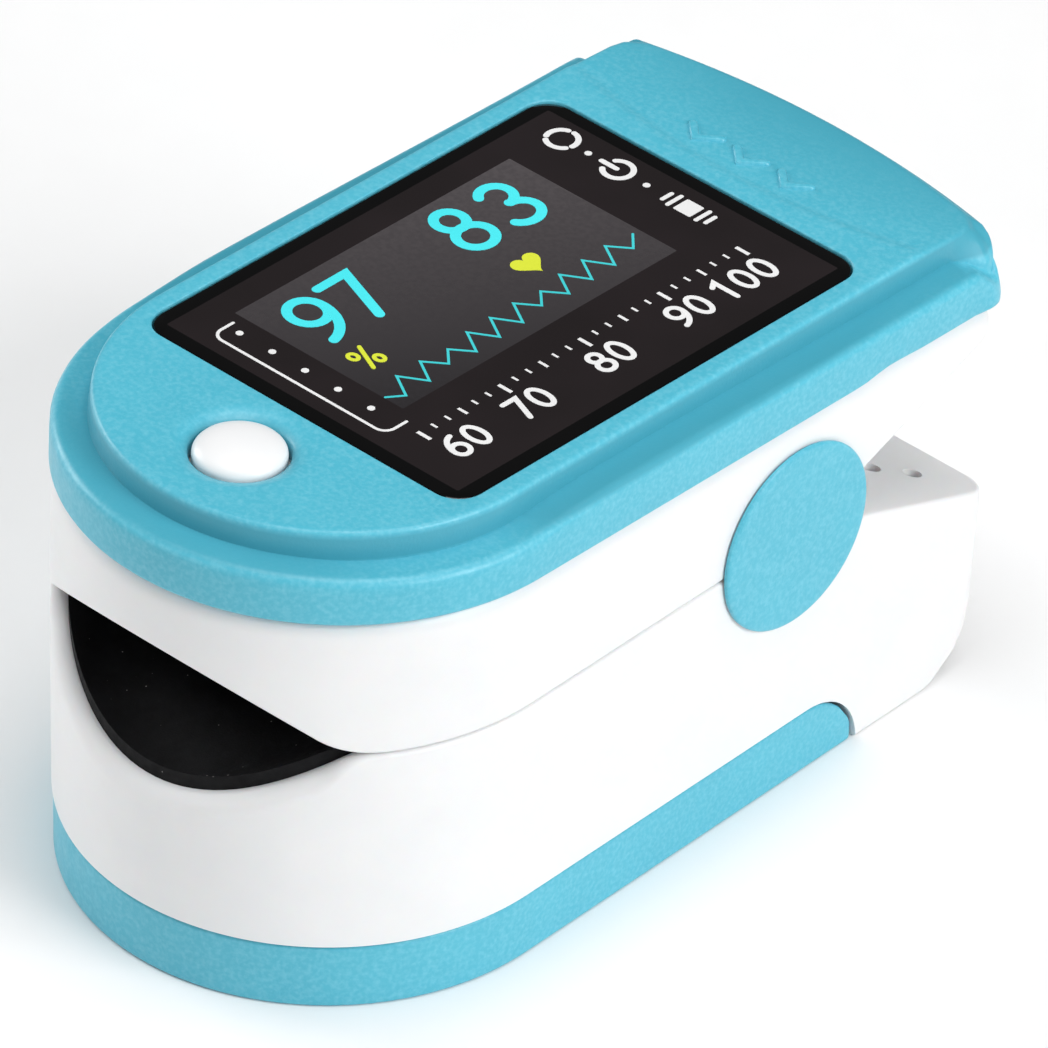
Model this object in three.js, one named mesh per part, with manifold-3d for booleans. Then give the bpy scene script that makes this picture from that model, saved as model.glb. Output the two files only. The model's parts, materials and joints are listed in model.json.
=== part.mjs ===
// Fingertip pulse oximeter: two sprung jaws on a cross hinge, a display and power
// button in the upper jaw, two AAA cells and a sliding door in the lower jaw.
// Millimetres, +Z up. The finger goes in from -Y, the squeeze ends are at +Y.
import * as THREE from "three";
import { mergeVertices } from "three/addons/utils/BufferGeometryUtils.js";
import Module from "manifold-3d";

const wasm = await Module();
wasm.setup();

// ---- driving dimensions -------------------------------------------------------

const BODY_HALF_W = 16.4;        // half the width of the white shells
const FRONT_Y = -29.1;           // front tip of the white shells
const REAR_Y = 28.5;             // rear wall of the lower jaw, at its top edge
const REAR_CORNER_R = 2.0;       // its upright corners
const REAR_FILLET_R = 4.6;       // its bottom edge, in side view
const REAR_FILLET_Y = 23.4;
const PART_Z = 18.6;             // plane where the closed jaws meet
const PART_GAP = 0.15;           // air between the two jaws when closed
const WALL = 1.6;                // shell wall
const FLOOR = 1.4;               // floor behind the battery door
const NOSE_Y = FRONT_Y + BODY_HALF_W;   // centre of the half-round nose
const MIDDLE_Y = 0.932;          // middle of the closed device, moved to the origin at the end

const HINGE_Y = 10.05;
const HINGE_Z = 18.82;
const UPPER_TILT = THREE.MathUtils.degToRad(2);  // the closed upper jaw is this much open

const DECK_SLOPE = 0.3594;       // fall of the lower jaw's rear deck
const DECK_TOP_Y = 11.3;         // where the deck leaves the parting plane
const LEVER_SLOPE = 0.3684;      // rise of the upper jaw's rear underside
const LEVER_TOP_Y = 11.96;

const DOOR_HALF_W = 16.3;
const DOOR_TOP_Z = 4.44;
const DOOR_END_Y = 16.4;
const DOOR_PLATE = 1.3;
const DOOR_WALL = 1.4;
const SKIRT_HALF_W = 14.6;       // the lower shell's inner skirt, inside the door
const BAY_HALF_W = 13.5;
const SKIRT_TOP_Z = 6.0;

const RIM_HALF_W = 16.6;         // blue cover, in the upper jaw's own frame
const RIM_BOTTOM_Z = 26.94;
const RIM_TOP_Z = 30.4;
const PLATEAU_HALF_W = 14.3;     // raised top of the cover
const PLATEAU_Z = 31.9;
const COVER_REAR_Y = 30.6;
const COVER_CORNER_R = 2.0;
const COVER_WALL = 1.3;
const REAR_BULGE_R = 58;         // plan radius of the cover's rear edge
const UPPER_SHELL_TOP_Z = 26.8;

const WINDOW_Y = 2.31;
const WINDOW_HALF_W = 12.8;
const WINDOW_HALF_L = 17.65;
const WINDOW_CORNER = 1.8;
const LENS_BOTTOM_Z = 30.95;
const LENS_TOP_Z = 31.78;
const LEDGE = 0.9;               // shelf that the lens is glued to

const BUTTON_Y = -20.67;
const BUTTON_R = 2.83;
const BUTTON_TOP_Z = 32.36;

const ARCH_R = 16.5;             // roof of the finger opening
const ARCH_CENTRE_Z = 6.07;
const UPPER_PAD_FRONT_R = 13.6;  // plan radius of each pad's front edge
const LOWER_PAD_FRONT_R = 15.3;
const PAD_THICK = 1.0;
const PAD_REAR_Y = 4.7;
const SENSOR_Y = -8;

const KNUCKLE_R = 4.6;
const KNUCKLE_BORE_R = 3.2;
const KNUCKLE_IN_X = 5.5;        // the knuckles leave the middle free for the flex cable
const KNUCKLE_OUT_X = 14.5;
const LUG_R = 5.4;
const PIN_R = 1.0;
const CAP_R = 6.22;
const CAP_GAP = 0.05;
const CAP_THICK = 0.35;

const CELL_R = 5.25;             // AAA cell
const CELL_BODY = 43.7;
const CELL_NUB = 0.8;
const CELL_X = 5.4;
const CELL_Z = 6.7;
const CELL_REAR_Y = 26.1;        // where the left cell's nub touches its contact
const CELL_FRONT_Y = -21.35;     // where the right cell's nub touches the bridge

const TRAY_BOTTOM_Z = 12.5;
const TRAY_TOP_Z = 13.5;
const CAVITY_TOP_Z = 14.0;       // underside of the finger bed
const BED_Z = 15.0;              // top of the bed, under the pad, at its middle
const BED_HALF_W = 12.5;
const BED_RISE = 3.1;            // how much higher the bed is at its sides
const MOUTH_START_Y = -22;       // in front of here the bed falls to the lip
const MOUTH_TILT = THREE.MathUtils.degToRad(15);
const MOUTH_CURVE = 0.026;
const MOUTH_HALF_W = 13.5;
const SADDLE_Z = 12.8;           // underside of the hinge saddle

const DISPLAY_X = -3.1;           // the panel sits left of the middle, beside the printed scale
const DISPLAY_Y = 1.45;
const DISPLAY_HALF_W = 9.05;
const DISPLAY_HALF_L = 13.7;
const DISPLAY_TOP_Z = 29.6;

const PCB_BOTTOM_Z = 26.0;
const PCB_TOP_Z = 27.0;

// ---- materials ----------------------------------------------------------------

function material(color, roughness, metalness = 0) {
  return new THREE.MeshStandardMaterial({ color, roughness, metalness });
}

const BLUE = material(0x4fb9d3, 0.42);
const WHITE = material(0xf2f4f4, 0.38);
const SILICONE = material(0x161517, 0.75);
const LENS = material(0x121013, 0.12);
const STEEL = material(0xb9bcc0, 0.3, 1);
const NICKEL = material(0xcfcdc6, 0.35, 1);
const BOARD = material(0x1f6b3c, 0.5);
const CHIP = material(0x1b1c1e, 0.6);
const CLEAR = material(0x8f2a2a, 0.1);
const CELL = material(0x3a3f45, 0.35);
const FLEX = material(0xb5762a, 0.4);

// ---- solids -------------------------------------------------------------------

function toSolid(geometry) {
  const bare = geometry.clone();
  bare.deleteAttribute("normal");
  bare.deleteAttribute("uv");
  const merged = mergeVertices(bare, 1e-5);
  return new wasm.Manifold(new wasm.Mesh({
    numProp: 3,
    vertProperties: new Float32Array(merged.attributes.position.array),
    triVerts: new Uint32Array(merged.index.array),
  }));
}

function toGeometry(solid) {
  const mesh = solid.getMesh();
  const geometry = new THREE.BufferGeometry();
  geometry.setAttribute("position", new THREE.BufferAttribute(mesh.vertProperties, 3));
  geometry.setIndex(new THREE.BufferAttribute(mesh.triVerts, 1));
  geometry.computeVertexNormals();
  return geometry;
}

function union(...solids) {
  return solids.reduce((a, b) => a.add(b));
}

function cut(solid, ...tools) {
  return tools.reduce((a, b) => a.subtract(b), solid);
}

function polygon(points) {
  return new THREE.Shape(points.map(([a, b]) => new THREE.Vector2(a, b)));
}

function circle(x, y, radius) {
  const shape = new THREE.Shape();
  shape.absarc(x, y, radius, 0, 2 * Math.PI, false);
  return shape;
}

function roundedRect(halfA, halfB, radius, centreB = 0) {
  const shape = new THREE.Shape();
  shape.absarc(halfA - radius, centreB - halfB + radius, radius, -Math.PI / 2, 0, false);
  shape.absarc(halfA - radius, centreB + halfB - radius, radius, 0, Math.PI / 2, false);
  shape.absarc(-halfA + radius, centreB + halfB - radius, radius, Math.PI / 2, Math.PI, false);
  shape.absarc(-halfA + radius, centreB - halfB + radius, radius, Math.PI, 1.5 * Math.PI, false);
  return shape;
}

// Extrusion along +Z of a shape drawn in X and Y.
function alongZ(shape, z0, z1, segments = 6) {
  const geometry = new THREE.ExtrudeGeometry(shape, {
    depth: z1 - z0, bevelEnabled: false, curveSegments: segments,
  });
  return toSolid(geometry.translate(0, 0, z0));
}

// Extrusion along +X of a shape drawn in Y and Z.
function alongX(shape, x0, x1, segments = 4) {
  const geometry = new THREE.ExtrudeGeometry(shape, {
    depth: x1 - x0, bevelEnabled: false, curveSegments: segments,
  });
  const turn = new THREE.Matrix4().makeBasis(
    new THREE.Vector3(0, 1, 0), new THREE.Vector3(0, 0, 1), new THREE.Vector3(1, 0, 0));
  return toSolid(geometry.translate(0, 0, x0).applyMatrix4(turn));
}

// Extrusion along Y, from y0 to y1, of a shape drawn in X and Z.
function alongY(shape, y0, y1, segments = 6) {
  const geometry = new THREE.ExtrudeGeometry(shape, {
    depth: y1 - y0, bevelEnabled: false, curveSegments: segments,
  });
  const turn = new THREE.Matrix4().makeBasis(
    new THREE.Vector3(1, 0, 0), new THREE.Vector3(0, 0, 1), new THREE.Vector3(0, -1, 0));
  return toSolid(geometry.applyMatrix4(turn).translate(0, y1, 0));
}

function block(x0, x1, y0, y1, z0, z1) {
  const geometry = new THREE.BoxGeometry(x1 - x0, y1 - y0, z1 - z0);
  return toSolid(geometry.translate((x0 + x1) / 2, (y0 + y1) / 2, (z0 + z1) / 2));
}

// The same tool on the left and on the right of the middle plane.
function bothSides(makeSolid) {
  const right = makeSolid();
  return right.add(right.mirror([1, 0, 0]));
}

function hingeDisc(radius, x0, x1, segments = 6) {
  return alongX(circle(HINGE_Y, HINGE_Z, radius), x0, x1, segments);
}

function arcPoints(x, y, radius, from, to, steps) {
  const points = [];
  for (let i = 0; i <= steps; i++) {
    const angle = THREE.MathUtils.lerp(from, to, i / steps);
    points.push([x + radius * Math.cos(angle), y + radius * Math.sin(angle)]);
  }
  return points;
}

// Plan of a jaw: round nose, straight sides, rear edge bowed by bulgeR, round corners.
function plan(halfW, rearY, cornerR = REAR_CORNER_R, bulgeR = 0) {
  const quarter = Math.PI / 2;
  const cornerX = halfW - cornerR;
  const tilt = bulgeR ? Math.asin(cornerX / bulgeR) : 0;
  const bow = bulgeR ? bulgeR - Math.sqrt(bulgeR ** 2 - cornerX ** 2) : 0;
  const cornerY = rearY - bow - cornerR;
  const nose = arcPoints(0, NOSE_Y, halfW, Math.PI, 2 * Math.PI, 22);
  const right = arcPoints(cornerX, cornerY, cornerR, 0, quarter - tilt, 3);
  const left = arcPoints(-cornerX, cornerY, cornerR, quarter + tilt, Math.PI, 3);
  const rear = bulgeR
    ? arcPoints(0, rearY - bulgeR, bulgeR, quarter - tilt, quarter + tilt, 6).slice(1, -1)
    : [];
  return polygon([...nose, ...right, ...rear, ...left]);
}

// Plan extruded with its top edge rounded off by edgeR.
function roundedPlan(makeShape, z0, z1, edgeR) {
  const shape = makeShape(-edgeR);
  const geometry = new THREE.ExtrudeGeometry(shape, {
    depth: z1 - z0 - edgeR,
    bevelEnabled: true,
    bevelThickness: edgeR,
    bevelSize: edgeR,
    bevelSegments: 2,
  });
  const solid = toSolid(geometry.translate(0, 0, z0));
  return solid.subtract(block(-40, 40, -60, 60, z0 - 2 * edgeR - 1, z0));
}

// ---- lower jaw ----------------------------------------------------------------

function deckZ(y) {
  return PART_Z - 0.1 - (y - DECK_TOP_Y) * DECK_SLOPE;
}

function lowerSideProfile() {
  const shape = new THREE.Shape();
  shape.moveTo(FRONT_Y - 2, 0);
  shape.lineTo(REAR_FILLET_Y, 0);
  shape.absarc(REAR_FILLET_Y, REAR_FILLET_R, REAR_FILLET_R, -Math.PI / 2, 0, false);
  shape.lineTo(REAR_Y, deckZ(REAR_Y));
  shape.lineTo(DECK_TOP_Y, PART_Z);
  shape.lineTo(FRONT_Y - 2, PART_Z);
  return shape;
}

// Side view of the space that the door takes, with its rear end rounded.
function doorProfile(margin) {
  const top = DOOR_TOP_Z + margin;
  const endR = 3.2;
  const shape = new THREE.Shape();
  shape.moveTo(FRONT_Y - 3, -1);
  shape.lineTo(DOOR_END_Y + margin, -1);
  shape.lineTo(DOOR_END_Y + margin, top - endR);
  shape.absarc(DOOR_END_Y + margin - endR, top - endR, endR, 0, Math.PI / 2, false);
  shape.lineTo(FRONT_Y - 3, top);
  return shape;
}

// Cross-section of the finger bed: a flat-bottomed trough of fourth-power sides.
function troughPoints(bottomZ, halfW, rise) {
  const points = [];
  const steps = 8;
  for (let i = -steps; i <= steps; i++) {
    const x = halfW * Math.sin((i / steps) * Math.PI / 2);
    points.push([x, bottomZ + rise * (x / halfW) ** 4]);
  }
  return points;
}

// Everything above the finger bed, raised by rise, between two Y.
function aboveBed(rise, y0, y1) {
  const points = troughPoints(BED_Z + rise, BED_HALF_W - rise, BED_RISE - rise / 2);
  const topZ = PART_Z + 3;
  points.push([BED_HALF_W - rise, topZ], [-BED_HALF_W + rise, topZ]);
  return alongY(polygon(points), y0, y1).intersect(
    alongZ(plan(LOWER_PAD_FRONT_R - 2.3, y1 + 1, 1), 10, topZ));
}

// Everything above the flared mouth, which tilts down from the bed to the front lip.
function aboveMouth(rise) {
  const points = [];
  const steps = 9;
  for (let i = -steps; i <= steps; i++) {
    const x = (MOUTH_HALF_W * i) / steps;
    points.push([x, MOUTH_CURVE * x ** 2]);
  }
  points.push([MOUTH_HALF_W, 12], [-MOUTH_HALF_W, 12]);
  const geometry = new THREE.ExtrudeGeometry(polygon(points), {
    depth: 14, bevelEnabled: false,
  });
  geometry.rotateX(Math.PI / 2 + MOUTH_TILT);
  return toSolid(geometry.translate(0, MOUTH_START_Y, BED_Z + rise));
}

function fingerBed(rise, rearY) {
  return union(aboveBed(rise, FRONT_Y - 2, rearY), aboveMouth(rise));
}

function lowerCavity() {
  const rearWallY = REAR_Y - WALL - 0.2;
  const saddleEndY = 16.2;
  const belowDeck = (y) => [y, deckZ(y) - WALL + 0.1];
  const belowBed = alongX(polygon([
    [FRONT_Y, FLOOR], [REAR_FILLET_Y, FLOOR], [rearWallY - 1, FLOOR + 0.9],
    [rearWallY, FLOOR + 3], belowDeck(rearWallY), belowDeck(saddleEndY),
    [saddleEndY, SADDLE_Z], [PAD_REAR_Y + 0.2, SADDLE_Z],
    [PAD_REAR_Y + 0.2, CAVITY_TOP_Z], [MOUTH_START_Y + 1, CAVITY_TOP_Z],
    [MOUTH_START_Y - 2.5, CAVITY_TOP_Z - 1], [FRONT_Y + 1, CAVITY_TOP_Z - 2.1],
    [FRONT_Y, CAVITY_TOP_Z - 2.1],
  ]), -20, 20);
  const wide = alongZ(plan(BODY_HALF_W - WALL, REAR_Y), SKIRT_TOP_Z, 20);
  const narrow = alongZ(plan(BAY_HALF_W, REAR_Y), -1, SKIRT_TOP_Z + 0.1);
  return belowBed.intersect(union(wide, narrow));
}

function cellClearance() {
  return bothSides(() => alongY(circle(CELL_X, CELL_Z, CELL_R + 0.3), -20, CELL_REAR_Y - 0.6, 10));
}

function makeLowerShell() {
  const outer = alongZ(plan(BODY_HALF_W, REAR_Y), 0, PART_Z).intersect(
    alongX(lowerSideProfile(), -20, 20));
  const lugs = bothSides(() => hingeDisc(LUG_R, BODY_HALF_W - WALL, BODY_HALF_W, 10));
  const doorSpace = alongX(doorProfile(0.15), -20, 20);
  const skirt = alongZ(plan(SKIRT_HALF_W, REAR_Y), DOOR_PLATE + 0.3, 6);
  const bayMouth = alongZ(plan(BAY_HALF_W, DOOR_END_Y + 0.15, 1), -1, 5);
  const tonguePath = block(-2.5, 2.5, FRONT_Y, 0, 0, 2.6);
  const railGroove = bothSides(() => block(SKIRT_HALF_W - 0.55, 16, NOSE_Y - 9, 11, 2.2, 3.4));
  const lip = fingerBed(0, PAD_REAR_Y + 0.2);
  const padPocket = fingerBed(-0.15, PAD_REAR_Y + 0.2).intersect(
    alongZ(plan(LOWER_PAD_FRONT_R + 0.15, PAD_REAR_Y + 0.2, 1), 10, 20));
  const sensorHole = block(-5.6, 5.6, SENSOR_Y - 4.6, SENSOR_Y + 4.6, CAVITY_TOP_Z - 0.5, 16);
  const trough = alongX(circle(HINGE_Y, HINGE_Z, KNUCKLE_R + 0.4), -BODY_HALF_W + WALL,
    BODY_HALF_W - WALL, 12);
  const flexPassage = block(-4, 4, PAD_REAR_Y + 0.1, 9.6, SADDLE_Z - 0.5, 19);
  const springLegs = bothSides(() => block(9.3, 10.1, 11.9, 12.9, 13.2, 16));
  const pinHoles = bothSides(() => hingeDisc(PIN_R + 0.15, 14, 17, 5));
  const capBores = bothSides(() => hingeDisc(2.3, BODY_HALF_W - 0.5, 17, 6));
  const screwBores = TRAY_SCREWS.map(([x, y]) => alongZ(circle(x, y, 0.85), CAVITY_TOP_Z - 1, 17, 3));
  const cordHoles = [[11.4, 22.9], [12.9, 25.0]].map(
    ([x, y]) => alongZ(circle(x, y, 0.6), 8, 18, 3));
  return cut(
    union(outer, lugs), doorSpace.subtract(skirt), bayMouth, lowerCavity(), cellClearance(),
    railGroove, tonguePath, lip, padPocket, sensorHole, trough, flexPassage, springLegs,
    pinHoles, capBores, ...screwBores, ...cordHoles);
}

const TRAY_SCREWS = [[11.8, -9.5], [-11.8, -9.5], [11.8, 1.5], [-11.8, 1.5]];

function makeBatteryDoor() {
  const outer = alongZ(plan(DOOR_HALF_W, REAR_Y), -1, 6).intersect(
    alongX(doorProfile(0), -20, 20));
  const rounded = outer.intersect(roundedDoorBase());
  const inside = alongZ(plan(DOOR_HALF_W - DOOR_WALL, REAR_Y), DOOR_PLATE, 8);
  const rails = bothSides(() => block(14.3, 15.2, -9, 10, 2.5, 3.1));
  const tongue = union(
    block(-1.9, 1.9, 14, 15.8, DOOR_PLATE - 0.2, 2.2), block(-1.9, 1.9, 15, 18.4, 1.6, 2.2));
  return union(rounded.subtract(inside), rails, tongue);
}

// Bottom edge of the door and the rest of the base, rounded off.
function roundedDoorBase() {
  const edgeR = 0.25;
  const geometry = new THREE.ExtrudeGeometry(plan(DOOR_HALF_W - edgeR, REAR_Y + 10), {
    depth: 10,
    bevelEnabled: true,
    bevelThickness: edgeR,
    bevelSize: edgeR,
    bevelSegments: 2,
  });
  return toSolid(geometry.translate(0, 0, edgeR));
}

function makeBatteryTray() {
  const halfW = BAY_HALF_W - 0.3;
  const plate = alongZ(plan(halfW, PAD_REAR_Y - 0.2, 1.5), TRAY_BOTTOM_Z, TRAY_TOP_Z).intersect(
    block(-20, 20, MOUTH_START_Y - 0.3, 10, 0, 20));
  const frontWall = block(-9, 9, -23, CELL_FRONT_Y - 0.5, 3, TRAY_BOTTOM_Z + 0.2);
  const sides = bothSides(() => block(11.2, 12.9, -6.5, 0.2, 6.4, TRAY_BOTTOM_Z + 0.2));
  const bed = bothSides(() => alongY(circle(CELL_X, CELL_Z, CELL_R + 0.2), -21.2, 20, 10));
  const bores = TRAY_SCREWS.map(
    ([x, y]) => alongZ(circle(x, y, 0.85), TRAY_BOTTOM_Z - 1, TRAY_TOP_Z + 1, 3));
  const body = union(plate, frontWall, sides).intersect(alongZ(plan(halfW, 10, 1), 0, 20));
  return cut(body, bed, ...bores);
}

function makeLowerPad() {
  const outline = alongZ(plan(LOWER_PAD_FRONT_R, PAD_REAR_Y, 0.8), 10, PART_Z - 0.15);
  const pad = cut(
    outline.intersect(fingerBed(0, PAD_REAR_Y)), fingerBed(PAD_THICK, PAD_REAR_Y - 1.3));
  return cut(pad, block(-3.7, 3.7, SENSOR_Y - 3.2, SENSOR_Y + 3.2, 14, 17));
}

function makeCell(towards) {
  const profile = [
    [0, 0], [CELL_R - 0.4, 0], [CELL_R, 0.3], [CELL_R, CELL_BODY - 0.5],
    [CELL_R - 0.5, CELL_BODY], [1.9, CELL_BODY], [1.9, CELL_BODY + CELL_NUB],
    [0, CELL_BODY + CELL_NUB],
  ];
  const geometry = new THREE.LatheGeometry(
    profile.map(([r, y]) => new THREE.Vector2(r, y)), 18);
  if (towards < 0) geometry.rotateX(Math.PI);
  return geometry;
}

// Contact spring: a cone of a few turns of round wire, standing along Y.
class Coil extends THREE.Curve {
  constructor(turns, length, radiusStart, radiusEnd) {
    super();
    Object.assign(this, { turns, length, radiusStart, radiusEnd });
  }

  getPoint(t, target = new THREE.Vector3()) {
    const angle = 2 * Math.PI * this.turns * t;
    const radius = THREE.MathUtils.lerp(this.radiusStart, this.radiusEnd, t);
    return target.set(
      radius * Math.cos(angle), this.length * t, radius * Math.sin(angle));
  }
}

function sweep(curve, wireR, steps) {
  const section = new THREE.Shape();
  section.absarc(0, 0, wireR, 0, 2 * Math.PI, false);
  const geometry = new THREE.ExtrudeGeometry(section, {
    steps, extrudePath: curve, curveSegments: 3, bevelEnabled: false,
  });
  return toGeometry(toSolid(geometry));
}

function makeContactSpring(length) {
  return sweep(new Coil(2.5, length, 3.4, 1.6), 0.22, 24);
}

// Torsion spring: coil round the hinge pin, one straight leg down into the lower shell.
function makeTorsionSpring(side) {
  const turns = 4;
  const coilR = 2.2;
  const pitch = 0.68;
  const points = [new THREE.Vector3(0, coilR, -5.3), new THREE.Vector3(0, coilR, -2)];
  const steps = turns * 9;
  for (let i = 0; i <= steps; i++) {
    const angle = (i / steps) * turns * 2 * Math.PI;
    points.push(new THREE.Vector3(
      side * (i / steps) * turns * pitch, coilR * Math.cos(angle), coilR * Math.sin(angle)));
  }
  points.push(new THREE.Vector3(side * (turns * pitch + 0.1), coilR, 0.9));
  return sweep(new THREE.CatmullRomCurve3(points, false, "catmullrom", 0.5), 0.28, 44);
}

function makeSideCap() {
  const face = CAP_THICK + CAP_GAP;
  const profile = [
    [0, -0.45], [2, -0.45], [2, CAP_GAP], [CAP_R, CAP_GAP], [CAP_R, face - 0.15],
    [CAP_R - 0.3, face], [0, face],
  ];
  return new THREE.LatheGeometry(profile.map(([r, y]) => new THREE.Vector2(r, y)), 30);
}

function makeScrew(headR, headH, shaftR, shaftL) {
  const profile = [
    [0, -shaftL], [shaftR * 0.4, -shaftL], [shaftR, -shaftL + 0.6], [shaftR, 0],
    [headR, 0], [headR, headH * 0.6], [headR * 0.8, headH], [0, headH],
  ];
  const geometry = new THREE.LatheGeometry(
    profile.map(([r, y]) => new THREE.Vector2(r, y)), 8).rotateX(Math.PI / 2);
  const slot = union(
    block(-headR * 0.6, headR * 0.6, -0.14, 0.14, headH * 0.5, headH + 1),
    block(-0.14, 0.14, -headR * 0.6, headR * 0.6, headH * 0.5, headH + 1));
  return toGeometry(toSolid(geometry).subtract(slot));
}

// ---- upper jaw, in its own untilted frame ---------------------------------------

// Turns a side-view point of the closed object into the upper jaw's untilted frame.
function toUpper([y, z]) {
  const dy = y - HINGE_Y;
  const dz = z - HINGE_Z;
  return [
    HINGE_Y + dy * Math.cos(UPPER_TILT) - dz * Math.sin(UPPER_TILT),
    HINGE_Z + dz * Math.cos(UPPER_TILT) + dy * Math.sin(UPPER_TILT),
  ];
}

// Side view of everything above the jaw's underside, raised by rise.
function upperProfile(rise, topZ = 40) {
  const z = PART_Z + PART_GAP + rise;
  const endY = 40;
  return polygon([
    toUpper([FRONT_Y - 6, z]), toUpper([LEVER_TOP_Y, z]),
    toUpper([endY, z + (endY - LEVER_TOP_Y) * LEVER_SLOPE]),
    [endY, topZ], [FRONT_Y - 6, topZ],
  ]);
}

function archDisc(radius) {
  return circle(0, ARCH_CENTRE_Z, radius);
}

const PCB_SCREWS = [[11.6, 17.5], [-11.6, 17.5], [10.2, -16.5], [-10.2, -16.5]];

function upperPlan(halfW, rearY) {
  return plan(halfW, rearY, COVER_CORNER_R, REAR_BULGE_R);
}

function makeUpperShell() {
  const outer = alongZ(upperPlan(BODY_HALF_W, COVER_REAR_Y - 0.4), 10, UPPER_SHELL_TOP_Z)
    .intersect(alongX(upperProfile(0), -20, 20));
  const tongue = cut(
    alongZ(upperPlan(14.9, COVER_REAR_Y - 1.8), UPPER_SHELL_TOP_Z - 1, 28.3),
    alongZ(upperPlan(13.7, COVER_REAR_Y - 3), 10, 30));
  const inner = alongZ(upperPlan(BODY_HALF_W - WALL, COVER_REAR_Y - 1.9), 10, 26);
  const innerTop = alongZ(upperPlan(13.7, COVER_REAR_Y - 3), 25.9, 30);
  const aboveArch = alongY(polygon([[-20, 19.6], [20, 19.6], [20, 40], [-20, 40]]),
    FRONT_Y - 2, PAD_REAR_Y + 1.2).subtract(
    alongY(archDisc(ARCH_R + 2.4), FRONT_Y - 3, PAD_REAR_Y + 2, 24));
  const aboveFloor = alongX(upperProfile(WALL), -20, 20).intersect(
    union(aboveArch, block(-20, 20, PAD_REAR_Y + 1.1, 30, 10, 40)));
  const cavity = aboveFloor.intersect(union(inner, innerTop));
  const knuckles = bothSides(() => hingeDisc(KNUCKLE_R, KNUCKLE_IN_X, KNUCKLE_OUT_X, 12));
  const knuckleRoots = bothSides(() => block(
    KNUCKLE_IN_X, KNUCKLE_OUT_X, HINGE_Y - 3, HINGE_Y + 3, HINGE_Z, HINGE_Z + 3.4));
  const bosses = PCB_SCREWS.map(([x, y]) => alongZ(circle(x, y, 1.9), 21.6, PCB_BOTTOM_Z - 0.05, 5));
  const arch = alongY(archDisc(ARCH_R), FRONT_Y - 3, PAD_REAR_Y + 0.2, 24);
  const padPocket = alongY(archDisc(ARCH_R + 1.15), FRONT_Y - 3, PAD_REAR_Y + 0.2, 24).intersect(
    alongZ(plan(UPPER_PAD_FRONT_R + 0.15, PAD_REAR_Y + 0.2, 1), 5, 27));
  const ledHole = block(-3.6, 3.6, SENSOR_Y - 3.6, SENSOR_Y + 3.6, 20, 27);
  const bore = bothSides(() => hingeDisc(KNUCKLE_BORE_R, KNUCKLE_IN_X - 1, KNUCKLE_OUT_X - WALL, 6));
  const pinHoles = bothSides(() => hingeDisc(PIN_R + 0.15, 12, 15, 5));
  const lugNotch = bothSides(() => hingeDisc(LUG_R + 0.35, KNUCKLE_OUT_X + 0.15, 18, 10));
  const flexPassage = block(-4.2, 4.2, PAD_REAR_Y + 0.9, 13.6, 16, 21.4);
  const springSlots = bothSides(() => block(9.2, 10.2, 7.2, 13.4, 13, 18));
  const screwBores = PCB_SCREWS.map(([x, y]) => alongZ(circle(x, y, 0.85), 23.2, 27, 3));
  const hollow = union(cut(outer, cavity), tongue, ...bosses, knuckles, knuckleRoots);
  return cut(
    hollow, arch, padPocket, ledHole, bore, pinHoles, lugNotch, flexPassage, springSlots,
    ...screwBores);
}

function makeUpperPad() {
  const outer = alongY(archDisc(ARCH_R + 1.0), FRONT_Y, PAD_REAR_Y, 24);
  const inner = alongY(archDisc(ARCH_R - 0.4), FRONT_Y - 1, PAD_REAR_Y - 1.3, 24);
  const pad = outer.subtract(inner).intersect(alongZ(plan(UPPER_PAD_FRONT_R, PAD_REAR_Y, 0.8), 5, 30))
    .intersect(alongX(upperProfile(0.1), -20, 20));
  return cut(pad, block(-3.2, 3.2, SENSOR_Y - 3.2, SENSOR_Y + 3.2, 20, 27));
}

function windowShape(margin) {
  return roundedRect(
    WINDOW_HALF_W + margin, WINDOW_HALF_L + margin, WINDOW_CORNER, WINDOW_Y);
}

function makeTopCover() {
  const rearY = COVER_REAR_Y;
  const rim = roundedPlan(
    (grow) => upperPlan(RIM_HALF_W + grow, rearY + grow), RIM_BOTTOM_Z, RIM_TOP_Z, 0.5);
  const plateau = roundedPlan(
    (grow) => upperPlan(PLATEAU_HALF_W + grow, rearY - 0.3 + grow),
    RIM_TOP_Z - 1, PLATEAU_Z, 0.3);
  const cavity = union(
    alongZ(upperPlan(RIM_HALF_W - COVER_WALL - 0.1, rearY - 1.5), RIM_BOTTOM_Z - 1, 28.9),
    alongZ(upperPlan(PLATEAU_HALF_W - COVER_WALL, rearY - 2.6), 28, PLATEAU_Z - 1.5));
  const rearStep = block(-20, 20, 18.2, 40, 20, RIM_BOTTOM_Z + 0.4);
  const lensSeat = alongZ(windowShape(0), LENS_BOTTOM_Z - 0.05, 40, 3);
  const opening = alongZ(windowShape(-LEDGE), 20, 40, 3);
  const buttonHole = alongZ(circle(0, BUTTON_Y, BUTTON_R + 0.2), 20, 40);
  return cut(union(rim, plateau), cavity, rearStep, lensSeat, opening, buttonHole);
}

function makeButton() {
  const under = PLATEAU_Z - 1.7;
  const profile = [
    [0, 28.95], [1.3, 28.95], [1.3, under - 0.5], [3.9, under - 0.5], [3.9, under],
    [BUTTON_R, under], [BUTTON_R, BUTTON_TOP_Z - 0.4], [BUTTON_R - 0.5, BUTTON_TOP_Z - 0.1],
    [BUTTON_R - 1.4, BUTTON_TOP_Z], [0, BUTTON_TOP_Z],
  ];
  return new THREE.LatheGeometry(profile.map(([r, y]) => new THREE.Vector2(r, y)), 20)
    .rotateX(Math.PI / 2);
}

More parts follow.
